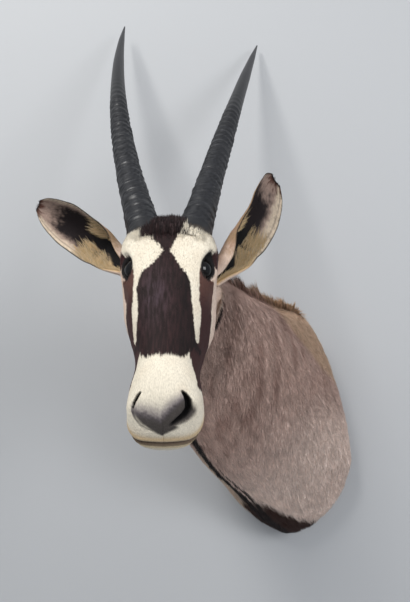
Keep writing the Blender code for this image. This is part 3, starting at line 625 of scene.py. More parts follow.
def neck_colour(points, place, girth, around, jitter):
    """The neck and shoulder: withers, mane, black line and dark breast, with painted light on the throat's
    right side and low down, and painted shade near the head and at the wall edge.
    """
    from_back = np.abs(girth)
    streaks = lattice_noise(points / np.array([0.016, 0.016, 0.060]), 15)
    colour = mix(NECK, NECK_SHADE, smooth(-0.3, 0.8, streaks))
    # The lower shoulder is painted paler, partly its own paler coat and partly painted light; lit adds more
    # painted light low down, and the neck is painted darker near the head as the head's shadow.
    pale = smooth(1.35, 1.90, place) * smooth(0.17, 0.31, from_back)
    colour = mix(colour, SHOULDER_PALE_AND_PAINTED_LIGHT, 0.95 * pale)
    lit = 0.16 * smooth(1.3, 1.7, place) * smooth(0.2, 0.3, from_back)
    colour = colour * (1 - 0.34 * smooth(1.30, 1.04, place) + lit)[..., None]
    past_withers = from_back - np.interp(place, WITHERS_PLACES, WITHERS_GIRTH) + 2 * jitter
    withers = smooth(1.48, 1.62, place + 3 * jitter) * smooth(0.012, -0.012, past_withers)
    colour = mix(colour, WITHERS, 0.85 * withers)
    mane = mix(MANE_DARK, MANE_TAN, smooth(1.33, 1.50, place + 6 * jitter))
    ridge = smooth(0.016, 0.007, from_back + jitter) * smooth(2.15, 1.95, place)
    colour = mix(colour, mane, 0.85 * ridge)
    # A pale strip is painted along the throat's right side as light falling on the neck.
    painted_lit_strip = smooth(0.0, -0.006, around + 3 * jitter) * smooth(-0.085, -0.060, around)
    colour = mix(colour, THROAT_PAINTED_LIGHT, painted_lit_strip * smooth(1.40, 1.58, place))
    past_breast = np.abs(around) + 5 * jitter - np.interp(place, BRISKET_PLACES, BRISKET_REACH)
    brisket = smooth(1.80, 1.88, place + 6 * jitter) * smooth(0.007, -0.007, past_breast)
    colour = mix(colour, BRISKET, brisket)
    from_line = around - np.interp(place, THROAT_LINE_PLACES, THROAT_LINE)
    line = smooth(0.0110, 0.0070, np.abs(from_line) + 2 * jitter) * smooth(1.00, 1.06, place)
    colour = mix(colour, DARK_LINE, line)
    # Painted shade where the skin meets the wall
    return mix(colour, DARK_LINE, 0.75 * smooth(2.155, 2.186, place + 2 * jitter))


def markings(points, place, girth, around, nostril):
    """Colour of skin or hair at places of the body, and how bare the skin is there.

    around is the distance from the middle of the underside, positive to the animal's left."""
    local = in_head_frame(points)
    jitter = 0.0010 * lattice_noise(points / 0.0045, 11) + 0.0009 * lattice_noise(points / 0.0016, 12)
    face = face_colour(points, local[..., 0], place, girth, jitter)
    face, bare = add_nose_and_mouth(face, points, local, place, girth, jitter, nostril)
    face, eye_bare = add_eye_skin(face, points, jitter)
    neck = neck_colour(points, place, girth, around, jitter)
    colour = mix(face, neck, smooth(NECK_START - 0.020, NECK_START, place + 1.5 * jitter))
    from_jaw = np.abs(place - NECK_START + 0.2 * jitter)
    jaw_line = smooth(0.010, 0.004, from_jaw) * smooth(0.11, 0.15, np.abs(girth))
    return mix(colour, DARK_LINE, jaw_line), np.maximum(bare, eye_bare)


def new_mesh(name, points, faces, colours=None, spots=None):
    """A mesh object from points and faces with three or four corners; colours are red, green, blue."""
    mesh = bpy.data.meshes.new(name)
    mesh.vertices.add(len(points))
    mesh.vertices.foreach_set("co", np.ascontiguousarray(points, dtype=np.float32).ravel())
    corners = faces.shape[1]
    mesh.loops.add(faces.size)
    mesh.loops.foreach_set("vertex_index", np.ascontiguousarray(faces, dtype=np.int32).ravel())
    mesh.polygons.add(len(faces))
    mesh.polygons.foreach_set("loop_start", np.arange(0, faces.size, corners, dtype=np.int32))
    mesh.update(calc_edges=True)
    mesh.polygons.foreach_set("use_smooth", np.ones(len(faces), dtype=bool))
    if colours is not None:
        layer = mesh.color_attributes.new("marking", "FLOAT_COLOR", "POINT")
        opaque = np.concatenate([colours, np.ones((len(colours), 1))], axis=1)
        layer.data.foreach_set("color", np.ascontiguousarray(opaque, dtype=np.float32).ravel())
    if spots is not None:
        layer = mesh.uv_layers.new(name="OFBake")
        layer.uv.foreach_set("vector", np.ascontiguousarray(spots[faces.ravel()], dtype=np.float32).ravel())
    made = bpy.data.objects.new(name, mesh)
    bpy.context.scene.collection.objects.link(made)
    return made


def ring_faces(rings, sides, first=0):
    """Four-cornered faces of a grid of closed rings."""
    here = np.arange(rings * sides).reshape(rings, sides)[:-1]
    beside = np.roll(here, -1, axis=1)
    return first + np.stack([here, beside, beside + sides, here + sides], axis=-1).reshape(-1, 4)


def capped_faces(rings, sides, first=0):
    """Triangles of a grid of closed rings, drawn together at both ends."""
    quads = ring_faces(rings, sides, first)
    loop = first + np.arange(sides)
    beside = np.roll(loop, -1)
    last = (rings - 1) * sides
    start = np.full(sides, first + rings * sides)
    return np.vstack([quads[:, [0, 1, 2]], quads[:, [0, 2, 3]], np.stack([beside, loop, start], axis=1),
                      np.stack([last + loop, last + beside, start + 1], axis=1)])


def capped_rows(values):
    """Values of a grid of rings as rows, followed by the means of the first and the last ring."""
    ends = np.stack([values[0].mean(axis=0), values[-1].mean(axis=0)])
    return np.vstack([values.reshape(-1, values.shape[-1]), ends])


def closed_tube(name, grid, colours):
    """A solid from a grid of rings."""
    return new_mesh(name, capped_rows(grid), capped_faces(*grid.shape[:2]), capped_rows(colours))


def dress(made, finish):
    """A piece's finish and slot; every piece rides on the one body."""
    made.data.materials.append(finish)
    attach(made, "root")


def plant(grid, count, weight):
    """Random places on a grid: ring, side and the shares of the way into that cell, by area and weight."""
    next_side = np.roll(grid, -1, axis=1)
    across = next_side[:-1] - grid[:-1]
    along = grid[1:] - grid[:-1]
    area = np.linalg.norm(np.cross(across, along), axis=2) * weight[:-1]
    total = np.cumsum(area.ravel())
    cell = np.searchsorted(total, RANDOM.random(count) * total[-1])
    cell = np.minimum(cell, area.size - 1)
    return cell // grid.shape[1], cell % grid.shape[1], RANDOM.random(count), RANDOM.random(count)


def read_at(values, spots):
    """Values of a grid at planted places."""
    ring, side, a, b = spots
    beside = (side + 1) % values.shape[1]
    shape = (-1,) + (1,) * (values.ndim - 2)
    a, b = a.reshape(shape), b.reshape(shape)
    low = values[ring, side] * (1 - b) + values[ring, beside] * b
    high = values[ring + 1, side] * (1 - b) + values[ring + 1, beside] * b
    return low * (1 - a) + high * a


def unwrap_spots(spots, rings, sides):
    """Place of each root on the skin unrolled to a unit square."""
    ring, side, a, b = spots
    return np.stack([(side + b) / sides, (ring + a) / rings], axis=1) * 0.98 + 0.01


# Hair stays in front of this y, roots lie this deep, and a piece has at most this many triangles
WALL_CLEARANCE = -0.0008
ROOT_DEPTH = 0.0006
PIECE_TRIANGLES = 190000
# The three corners of a tuft's cross section: sideways, outward and the corner's place on the patch
TUFT_CORNERS = ((1.0, 0.0, (0.0015, 0.0)), (-1.0, 0.0, (-0.0015, 0.0)), (0.0, 1.0, (0.0, -0.0015)))
TUFT_SIDES = ((0, 2), (2, 1), (1, 0))
TUFT_TIP = np.array((0.0, 0.0015))
TUFT_FLATNESS = 0.45
ROOT_SHADE = 0.86
TIP_SHADE = 1.10


def tuft_faces(segments):
    """Triangles of one closed tuft, its tip being the last point."""
    faces = [(0, 2, 1)]
    for part in range(segments - 1):
        low, high = 3 * part, 3 * part + 3
        for one, other in TUFT_SIDES:
            faces.append((low + other, low + one, high + one))
            faces.append((low + other, high + one, high + other))
    low = 3 * (segments - 1)
    faces.extend((low + other, low + one, low + 3) for one, other in TUFT_SIDES)
    return np.array(faces)


def tufts(name, roots, outward, lie, length, half_width, lift, colours, spots, segments, finish):
    """Pointed three-sided tufts that bend down onto the lie of the coat, in pieces of limited size."""
    lie = unit(lie - np.sum(lie * outward, axis=1, keepdims=True) * outward)
    beside = np.cross(outward, lie)
    rise, settle = lift
    step = (length / segments)[:, None]
    path = [roots - ROOT_DEPTH * outward]
    for part in range(segments):
        share = (part + 0.5) / segments
        angle = (rise * (1 - share) + settle * share)[:, None]
        path.append(path[-1] + step * (np.cos(angle) * lie + np.sin(angle) * outward))
    points, tints, patch = [], [], []
    for part in range(segments):
        taper = (1 - part / segments) ** 0.6
        shade = ROOT_SHADE + (TIP_SHADE - ROOT_SHADE) * part / segments
        width = (half_width * taper)[:, None]
        for across, up, spot in TUFT_CORNERS:
            points.append(path[part] + width * (across * beside + TUFT_FLATNESS * up * outward))
            tints.append(colours * shade)
            patch.append(spots + np.array(spot) + np.array((0.0, 0.0012 * part / segments)))
    points.append(path[-1])
    tints.append(colours * TIP_SHADE)
    patch.append(spots + TUFT_TIP)
    points, tints, patch = (np.stack(rows, axis=1) for rows in (points, tints, patch))
    points[..., 1] = np.minimum(points[..., 1], WALL_CLEARANCE)
    corners = points.shape[1]
    faces = tuft_faces(segments)
    share = max(1, PIECE_TRIANGLES // len(faces))
    for number, start in enumerate(range(0, len(points), share)):
        some = slice(start, start + share)
        first = np.arange(len(points[some]))[:, None, None] * corners
        some_faces = (first + faces[None]).reshape(-1, 3)
        piece = new_mesh(f"{name}_{number}", points[some].reshape(-1, 3), some_faces,
                         tints[some].reshape(-1, 3), patch[some].reshape(-1, 2))
        dress(piece, finish)


def spread(low, high, count):
    """Random numbers between two values."""
    return low + (high - low) * RANDOM.random(count)


def node_material(name):
    """A material with its nodes, links and shader."""
    made = bpy.data.materials.new(name)
    made.use_nodes = True
    tree = made.node_tree
    return made, tree.nodes, tree.links, tree.nodes["Principled BSDF"]


def varied_material(name, roughness, variation, grain, bump, colour=None, stretch=(1, 1, 1), specular=None):
    """A finish coloured by the marking, or by one colour, with fine streaks and bump."""
    made, nodes, links, shader = node_material(name)
    place = nodes.new("ShaderNodeTexCoord")
    mapping = nodes.new("ShaderNodeMapping")
    mapping.inputs["Scale"].default_value = stretch
    links.new(place.outputs["Object"], mapping.inputs["Vector"])
    noise = nodes.new("ShaderNodeTexNoise")
    noise.inputs["Scale"].default_value = grain
    noise.inputs["Detail"].default_value = 4.0
    links.new(mapping.outputs["Vector"], noise.inputs["Vector"])
    shade = nodes.new("ShaderNodeMapRange")
    shade.inputs["From Min"].default_value = 0.3
    shade.inputs["From Max"].default_value = 0.7
    shade.inputs["To Min"].default_value = 1 - variation
    shade.inputs["To Max"].default_value = 1 + variation
    links.new(noise.outputs["Fac"], shade.inputs["Value"])
    scale = nodes.new("ShaderNodeVectorMath")
    scale.operation = "SCALE"
    if colour is None:
        marking = nodes.new("ShaderNodeAttribute")
        marking.attribute_name = "marking"
        links.new(marking.outputs["Color"], scale.inputs[0])
    else:
        scale.inputs[0].default_value = tuple(colour)
    links.new(shade.outputs["Result"], scale.inputs["Scale"])
    links.new(scale.outputs["Vector"], shader.inputs["Base Color"])
    raised = nodes.new("ShaderNodeBump")
    raised.inputs["Strength"].default_value = 0.6
    raised.inputs["Distance"].default_value = bump
    links.new(noise.outputs["Fac"], raised.inputs["Height"])
    links.new(raised.outputs["Normal"], shader.inputs["Normal"])
    shader.inputs["Roughness"].default_value = roughness
    if specular is not None:
        shader.inputs["Specular IOR Level"].default_value = specular
    return made


PUPIL = linear(3, 3, 4)
IRIS = linear(16, 11, 9)
EYE_WHITE = linear(6, 5, 6)
LASH = linear(16, 12, 12)
LASHES_AT_A_PLACE = 3


def eyeball(name, side, finish):
    """A glass eye with a dark iris, a wide pupil and an equally dark white."""
    centre, look, long_way, short_way = eye_axes(side)
    polar = np.linspace(0.004, pi - 0.004, 48)[:, None, None]
    turn = np.linspace(0.0, 2 * pi, 64, endpoint=False)[None, :, None]
    ball = np.cos(polar) * look + np.sin(polar) * (np.cos(turn) * long_way + np.sin(turn) * short_way)
    across = np.hypot(np.sin(polar) * np.cos(turn) / 1.35, np.sin(polar) * np.sin(turn))[..., 0]
    colours = mix(PUPIL, IRIS, smooth(0.26, 0.36, across))
    colours = mix(colours, EYE_WHITE, smooth(0.55, 0.66, across))
    made = closed_tube(name, centre + (EYE_RADIUS - 0.0002) * ball, colours)
    dress(made, finish)
    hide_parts(name.replace("_glass", ""))


def lid_rim(name, side, finish):
    """The bare dark rim of the lids, resting on the eyeball, with the lashes of the upper lid."""
    centre, look, long_way, short_way = eye_axes(side)
    turn = np.linspace(0.0, 2 * pi, 72, endpoint=False)
    squeeze = 1 - LID_SQUEEZE * np.abs(np.cos(turn)) ** 3
    a = LID_OPENING[0] * 1.03 * np.cos(turn)
    b = LID_OPENING[1] * 1.03 * np.sin(turn) * squeeze
    along = a * cos(LID_TILT) - b * sin(LID_TILT)
    up = a * sin(LID_TILT) + b * cos(LID_TILT)
    reach = np.hypot(along, up)
    tall = np.sqrt(EYE_RADIUS**2 - reach**2) + 0.0004
    middle = centre + along[:, None] * long_way + up[:, None] * short_way + tall[:, None] * look
    tangent = unit(np.roll(middle, -1, axis=0) - np.roll(middle, 1, axis=0))
    out = unit(middle - centre)
    beside = np.cross(tangent, out)
    ring = np.linspace(0.0, 2 * pi, 12, endpoint=False)[None, :, None]
    thick = 0.00085 + 0.00025 * np.sin(turn)[:, None, None]
    grid = middle[:, None] + thick * (np.cos(ring) * out[:, None] + np.sin(ring) * 1.3 * beside[:, None])
    rings, sides = grid.shape[:2]
    here = np.arange(rings * sides).reshape(rings, sides)
    down = np.roll(here, -1, axis=0)
    faces = np.stack([here, np.roll(here, -1, axis=1), np.roll(down, -1, axis=1), down], axis=-1)
    made = new_mesh(name, grid.reshape(-1, 3), faces.reshape(-1, 4))
    dress(made, finish)
    upper = np.sin(turn) > 0.05
    roots = np.repeat(middle[upper] + 0.0008 * out[upper], LASHES_AT_A_PLACE, axis=0)
    count = len(roots)
    roots = roots + spread(-0.0006, 0.0006, (count, 3))
    lashes = unit(unit(middle - centre - tall[:, None] * look) + 0.25 * look)[upper]
    lashes = unit(np.repeat(lashes, LASHES_AT_A_PLACE, axis=0) + spread(-0.12, 0.12, (count, 3)))
    outs = np.repeat(out[upper], LASHES_AT_A_PLACE, axis=0)
    tufts(name + "_lashes", roots, outs, lashes, spread(0.007, 0.011, count), np.full(count, 0.00022),
          (np.full(count, 0.5), np.full(count, 1.0)), np.tile(LASH, (count, 1)),
          np.full((count, 2), 0.5), 3, finish)


HORN_SIDES = 44
HORN_RING_HEIGHT = 0.0024
HORN_RING_SUNK = 0.0017
HORN_FINE_HEIGHT = 0.00075
HORN_FIBRE_HEIGHT = 0.00022
HORN_DARK = linear(13, 13, 15)
HORN_WORN = linear(42, 43, 48)
HORN_TIP = linear(30, 30, 34)


def horn_grid(root, tip, side_bow, front_bow):
    """Rings of a long horn, ridged in its lower part, and their colours."""
    ringed = np.linspace(0.0, HORN_RINGED_SHARE + 0.03, 8 * HORN_RINGS)
    share = np.concatenate([ringed, np.linspace(ringed[-1], 1.0, 60)[1:]])
    root, tip = np.array(root), np.array(tip)
    local = root + share[:, None] * (tip - root)
    local[:, 2] += 4 * side_bow * share * (1 - share)
    local[:, 1] += 4 * front_bow * share * (1 - share)
    centre = head_point(local[:, 0], local[:, 1], local[:, 2])
    along = unit(np.gradient(centre, axis=0))
    across = unit(np.cross(along, LEFT_WAY))
    beside = np.cross(along, across)
    angle = np.linspace(0.0, 2 * pi, HORN_SIDES, endpoint=False)[None, :]
    flow = share[:, None] + 0.009 * np.cos(angle + 0.6)
    level = 0 * flow
    wander = 0.16 * noise_of(flow * 30, level, 31)
    phase = flow / HORN_RINGED_SHARE * HORN_RINGS + wander + 0.5
    ridge = (0.5 + 0.5 * np.cos(2 * pi * phase)) ** 1.4
    between = (0.5 + 0.5 * np.cos(2 * pi * (phase + 0.5 + 0.5 * wander))) ** 2
    ridge = ridge + 0.75 * between * smooth(0.50, 0.20, share)[:, None]
    strength = smooth(0.015, 0.045, share) * smooth(HORN_RINGED_SHARE + 0.02, 0.40, share)
    uneven = 1 + 0.40 * noise_of(flow * 60, 1.6 * angle + level, 32)
    wriggle = 0.5 * noise_of(flow * 40, angle + level, 35)
    fine_ridge = HORN_FINE_HEIGHT * np.cos(2 * pi * (3 * phase + wriggle))
    fibres = HORN_FIBRE_HEIGHT * noise_of(flow * 7, angle * 9 + level, 33)
    rings = HORN_RING_HEIGHT * ridge * uneven - HORN_RING_SUNK + fine_ridge
    radius = np.interp(share, HORN_SHARES, HORN_DIAMETERS)[:, None] / 2
    radius = radius + strength[:, None] * rings + fibres
    way = np.cos(angle)[..., None] * across[:, None] + np.sin(angle)[..., None] * beside[:, None]
    grid = centre[:, None] + radius[..., None] * way
    worn = strength[:, None] * ridge * (0.6 + 0.4 * lattice_noise(grid / 0.006, 34))
    colours = mix(HORN_DARK, HORN_WORN, np.clip(0.12 + 0.60 * worn, 0, 1))
    return grid, mix(colours, HORN_TIP, 0.7 * smooth(0.6, 0.8, share)[:, None] + level)


def ear_grid(half_widths, root, tip, facing, bow):
    """Rings of an ear: the back from edge to edge and the inside back again, with where each point is."""
    root, tip = np.array(root), np.array(tip)
    axis = unit(tip - root)
    opening = unit(np.array(facing) - np.dot(facing, axis) * axis)
    beside = np.cross(axis, opening)
    share = np.linspace(0.0, 1.0, EAR_RINGS)
    half_width = np.interp(share, EAR_SHARES, half_widths)
    for _ in range(3):
        half_width[1:-1] = (half_width[:-2] + half_width[1:-1] * 2 + half_width[2:]) / 4
    curl = np.radians(np.interp(share, EAR_SHARES, EAR_CURL))
    radius = half_width / np.sin(np.minimum(curl, pi / 2)) - 0.0010
    wall = np.interp(share, (0.0, 0.14, 0.32, 1.0), (0.013, 0.012, 0.0030, 0.0018))
    backset = -0.012 * np.sin(pi * share)
    middle = root + share[:, None] * (tip - root) + backset[:, None] * opening
    middle = middle + np.sin(pi * share)[:, None] * np.array(bow)
    middle = middle + opening * (radius * np.maximum(np.cos(curl), 0.0))[:, None]
    sweep = np.linspace(-1.0, 1.0, EAR_COLUMNS)
    turn = curl[:, None] * sweep[None, :]
    wave = 1 + 0.020 * np.sin(9 * share[:, None] + 2 * sweep)
    wave = wave + 0.015 * np.sin(23 * share[:, None] - 3 * sweep)

    def arc(reach):
        way = np.sin(turn)[..., None] * beside - np.cos(turn)[..., None] * opening
        return middle[:, None] + (reach * wave)[..., None] * way

    rim = 1 - 0.55 * np.abs(sweep) ** 4
    outer = arc(radius[:, None] * np.ones_like(sweep))
    inner = arc(radius[:, None] - wall[:, None] * rim)[:, ::-1]
    grid = np.concatenate([outer, inner], axis=1)
    where = np.tile(np.concatenate([sweep, sweep[::-1]]), (EAR_RINGS, 1))
    inside = np.tile(np.repeat([0.0, 1.0], EAR_COLUMNS), (EAR_RINGS, 1))
    along = np.gradient(grid, axis=0)
    around = np.roll(grid, -1, axis=1) - np.roll(grid, 1, axis=1)
    outward = unit(np.cross(along, around))
    back_middle = outward[EAR_RINGS // 2 - 2, EAR_COLUMNS // 2]
    if np.dot(back_middle, opening) > 0:
        outward = -outward
    return grid, outward, share[:, None] * np.ones_like(where), where, inside


EAR_DARK = linear(24, 15, 17)
EAR_PINK = linear(222, 204, 180)
EAR_GREY = linear(150, 124, 116)
EAR_TAN = linear(212, 180, 132)
EAR_BACK = linear(158, 130, 100)
EAR_TIP = linear(92, 60, 50)
EAR_RIM = linear(26, 19, 18)
EAR_GOLD = linear(222, 190, 138)
EAR_CREAM_HAIR = linear(226, 206, 172)
# Where the dark patch has its middle, from edge to edge of the ear
PATCH_MIDDLE = {"ear_right": 0.02, "ear_left": -0.16}


CANAL_SHARES = (0.0, 0.22, 0.36, 0.50)
CANAL_HALF_WIDTHS = (0.72, 0.55, 0.26, 0.20)


def canal_edge(share):
    """Half width of the slit of painted black shade inside the ear, as a share of the ear's own."""
    return np.interp(share, CANAL_SHARES, CANAL_HALF_WIDTHS)


def ear_markings(name, grid, share, where, inside):
    """Colour of an ear: dark rim, inner patch, a slit of painted shade, pale band and tan back."""
    jitter = 0.05 * lattice_noise(grid / 0.005, 41) + 0.05 * lattice_noise(grid / 0.0018, 42)
    aside = np.abs(where - PATCH_MIDDLE[name] * smooth(0.2, 0.6, share))
    colour = mix(EAR_PINK, EAR_TAN, smooth(0.55, 0.20, share))
    colour = mix(colour, EAR_GREY, smooth(0.90, 0.66, aside + jitter) * smooth(0.30, 0.55, share) * 0.8)
    patch = smooth(0.80, 0.50, aside + jitter) * smooth(0.28, 0.42, share + jitter)
    colour = mix(colour, EAR_DARK, patch * smooth(0.95, 0.80, share + 0.8 * jitter))
    # The slit in the hollow of the ear's root is painted black as shade.
    canal = smooth(0.06, -0.06, np.abs(where) + 0.4 * jitter - canal_edge(share))
    colour = mix(colour, HOLLOW_PAINTED_SHADE, canal * smooth(0.62, 0.50, share))
    from_line = np.abs(np.abs(where) + 0.4 * jitter - 0.84)
    fine_line = smooth(0.040, 0.015, from_line) * smooth(0.3, 0.45, share)
    colour = mix(colour, EAR_GREY * 0.45, 0.6 * fine_line)
    back = mix(EAR_BACK, NECK_SHADE, smooth(-0.2, 0.8, lattice_noise(grid / 0.02, 43)) * 0.5)
    back = mix(back, CHEEK, smooth(0.34, 0.14, share + jitter))
    colour = mix(back, colour, inside)
    colour = mix(colour, EAR_TIP, smooth(0.950, 0.985, share + 0.5 * jitter))
    rim = smooth(0.950, 0.985, np.abs(where) + 0.2 * jitter) * smooth(0.25, 0.40, share)
    rim = np.maximum(rim, smooth(0.985, 0.995, share))
    return mix(colour, EAR_RIM, rim)


# The skin with both ears in one piece
body, body_out, places, nostril_grid = skin_grid()
girth = girths(body)
half_round = np.abs(girth[:, 3 * SKIN_SIDES // 4])
around = np.where(girth >= 0, half_round[:, None] - girth, -(half_round[:, None] + girth))
place_grid = places[:, None] * np.ones(body.shape[1])
body_colour, body_bare = markings(body, place_grid, girth, around, nostril_grid)

ears = {name: ear_grid(EAR_HALF_WIDTHS[name], *row) for name, row in EARS.items()}
skin_rows = [(body, body_colour)]
skin_rows.extend((rows[0], ear_markings(name, rows[0], *rows[2:])) for name, rows in ears.items())
skin_faces, first = [], 0
for grid, _ in skin_rows:
    skin_faces.append(capped_faces(*grid.shape[:2], first))
    first += len(capped_rows(grid))

coat_finish = varied_material("coat_hair", 0.62, 0.14, 900.0, 0.0002, specular=0.25)
skin_finish = varied_material("skin_under_coat", 0.72, 0.16, 700.0, 0.0005, stretch=(1.0, 1.0, 0.35),
                              specular=0.25)
lid_finish = varied_material("lid_skin", 0.42, 0.20, 900.0, 0.0002, colour=linear(14, 11, 11), specular=0.15)
horn_finish = varied_material("horn_keratin", 0.40, 0.22, 260.0, 0.0004, stretch=(1.0, 1.0, 0.12))
eye_finish = varied_material("eye_glass", 0.03, 0.10, 300.0, 0.0, specular=0.35)
board_finish = varied_material("board_plywood", 0.65, 0.22, 60.0, 0.0005, colour=linear(190, 158, 116),
                               stretch=(1.0, 6.0, 0.15))

skin = new_mesh("skin", np.vstack([capped_rows(grid) for grid, _ in skin_rows]), np.vstack(skin_faces),
                np.vstack([capped_rows(colour) for _, colour in skin_rows]))
dress(skin, skin_finish)
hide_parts("head", "neck", "torso", "ear_left", "ear_right")


# The lie of the coat: back along the face, down the sides of the neck, towards the head on the nape
HANG = np.array([0.10, 0.06, -1.0])
from_back = np.abs(girth)
along = unit(np.gradient(body, axis=0))
down = HANG - body_out * (body_out @ HANG)[..., None]
on_neck = smooth(0.93, 1.15, place_grid) * smooth(0.03, 0.10, np.abs(around))
nape = smooth(0.045, 0.015, from_back) * over(place_grid, (0.95, 1.05), (2.0, 1.8))
body_lie = along * (1 - 0.72 * on_neck)[..., None] + down * (0.85 * on_neck)[..., None]
body_lie = mix(body_lie, -along, nape)

# Colour of the paler hairs in dark places: partly pale hairs, partly painted sheen.
PALE_HAIR_AND_SHEEN = linear(92, 76, 76)
PALE_AND_SHEEN_HAIR_SHARE = 0.10
COAT_WAVE = 0.16
COAT_STRAY = 0.10
CLUMP_SIZE = np.array([0.006, 0.006, 0.022])
CLUMP_SHADE = 0.16
FACE_TUFTS = 88000
BODY_TUFTS = 56000
CROWN_TUFTS = 3600
HORN_FUR_TUFTS = 2200
COLLAR_TUFTS = 6000
MANE_TUFTS = 5200
THROAT_TUFTS = 5600
EAR_TUFTS = 11000
FAN_TUFTS = 3000
kept_share = 1.0


def grow_coat(name, count, weight, segments, lengths, half_widths, rise, settle, shade=(0.80, 1.22),
              clumps=0.0):
    """Tufts on the skin where weight says, with lengths and widths read by place, rising in clumps."""
    spots = plant(body, int(count * kept_share), weight)
    roots, outward, lie = (read_at(values, spots) for values in (body, unit(body_out), body_lie))
    place, turn, under = (read_at(values, spots) for values in (place_grid, girth, around))
    colour, _ = markings(roots, place, turn, under, read_at(nostril_grid, spots))
    count = len(roots)
    wave = COAT_WAVE * lattice_noise(roots / 0.012, 51)
    lie = unit(lie) + wave[:, None] * np.cross(outward, unit(lie))
    lie = lie + spread(-COAT_STRAY, COAT_STRAY, (count, 3))
    clump = 1 + CLUMP_SHADE * lattice_noise(roots / CLUMP_SIZE, 52)
    colour = colour * (clump * spread(*shade, count))[:, None]
    in_dark = smooth(0.035, 0.015, colour.mean(axis=1))
    colour = colour * (1 + in_dark * spread(-0.35, 0.55, count))[:, None]
    # A share of the hairs in dark places is painted paler, partly as pale hairs and partly as painted sheen.
    pale_and_sheen_hair = (RANDOM.random(count) < PALE_AND_SHEEN_HAIR_SHARE) * in_dark
    colour = mix(colour, PALE_HAIR_AND_SHEEN, 0.75 * pale_and_sheen_hair)
    bunch = clumps * lattice_noise(roots / 0.008, 53)
    length = np.interp(place, *lengths) * spread(0.75, 1.25, count) * (1 + bunch)
    width = np.interp(place, *half_widths) * spread(0.8, 1.2, count)
    lift = (spread(*rise, count) + bunch, spread(*settle, count))
    tufts(name, roots, unit(outward), lie, length, width, lift, colour, unwrap_spots(spots, *body.shape[:2]),
          segments, coat_finish)


haired = 1 - np.clip(body_bare * 1.3, 0, 1)
face_weight = haired * over(place_grid, (0.02, 0.06), (1.02, 0.96)) * (1 + smooth(0.5, 0.2, place_grid))
grow_coat("face_coat", FACE_TUFTS, face_weight, 1,
          ((0.0, 0.2, 0.4, 0.7, 0.85, 1.0), (0.0026, 0.0036, 0.0052, 0.0066, 0.0095, 0.012)),
          ((0.0, 0.3, 0.8), (0.00028, 0.00038, 0.00050)), (0.06, 0.24), (0.0, 0.12), (0.88, 1.14))
body_weight = over(place_grid, (0.93, 0.98), (2.196, 2.185))
grow_coat("body_coat", BODY_TUFTS, body_weight, 2,
          ((0.95, 1.1, 1.6, 2.0, 2.1, 2.2), (0.012, 0.016, 0.019, 0.018, 0.013, 0.008)),
          ((0.9, 1.2, 2.2), (0.00048, 0.00058, 0.00070)), (0.24, 0.44), (-0.05, 0.10), (0.86, 1.16))
crown_weight = smooth(0.034, 0.022, from_back) * over(place_grid, (0.700, 0.735), (0.86, 0.80))
grow_coat("crown_hair", CROWN_TUFTS, crown_weight, 3,
          ((0.70, 0.78, 0.86), (0.012, 0.024, 0.020)),
          ((0.7, 0.9), (0.0006, 0.0007)), (0.6, 1.0), (0.1, 0.5))

# How far from the head's middle each horn's fur turns dark, and the radius it stands on by its reach
FUR_EDGE = {"horn_right": 0.044, "horn_left": 0.029}
FUR_REACHES = (-0.012, 0.0, 0.034)
FUR_RADII = (0.0325, 0.0312, 0.0292)
HORN_ROOT_RADIUS = 0.029


def horn_line(root, tip):
    """Start of a horn and the way it leaves the head."""
    start = head_point(*root)
    return start, unit(head_point(*tip) - start)


def horn_fur(name, root, tip):
    """Fur that climbs a horn's base, white in front and dark at its edge, inside and behind."""
    count = int(HORN_FUR_TUFTS * kept_share)
    turn, reach = spread(0.0, 2 * pi, count)[:, None], spread(-0.016, 0.004, count)[:, None]
    start, way = horn_line(root, tip)
    forward = unit(TOP_WAY - np.dot(TOP_WAY, way) * way)
    out = np.cos(turn) * forward + np.sin(turn) * np.cross(way, forward)
    roots = start + reach * way + np.interp(reach, FUR_REACHES, FUR_RADII) * out
    local = in_head_frame(roots)
    ragged = 0.004 * lattice_noise(roots / 0.003, 54)
    dark = smooth(0.003, -0.003, np.abs(local[:, 2]) + ragged - FUR_EDGE[name])
    dark = np.maximum(dark, smooth(0.008, -0.004, local[:, 1] + ragged))
    dark = np.maximum(dark, 0.9 * smooth(-0.006, 0.000, reach[:, 0] + 0.5 * ragged))
    tint = mix(np.tile(CREAM * 1.12, (count, 1)), BLAZE, dark) * spread(0.92, 1.10, count)[:, None]
    lie = np.tile(way, (count, 1)) + spread(-0.12, 0.12, (count, 3))
    length, half_width = spread(0.009, 0.014, count), spread(0.0004, 0.0006, count)
    lift = (spread(0.03, 0.20, count), spread(-0.05, 0.12, count))
    tufts(name + "_fur", roots, out, lie, length, half_width, lift, tint, np.full((count, 2), 0.5), 2,
          coat_finish)


def horn_gaps():
    """Distance from each point of the skin to the nearer horn's side, 1 away from the horns."""
    gaps = np.full(place_grid.shape, 1.0)
    for root, tip, _, _ in HORNS.values():
        start, way = horn_line(root, tip)
        away = body - start
        reach = away @ way
        gap = np.linalg.norm(away - reach[..., None] * way, axis=-1) - HORN_ROOT_RADIUS
        beside = (reach > -0.03) & (reach < 0.09) & (gap > 0)
        gaps = np.where(beside, np.minimum(gaps, gap), gaps)
    return gaps


for name, (root, tip, _, _) in HORNS.items():
    horn_fur(name, root, tip)

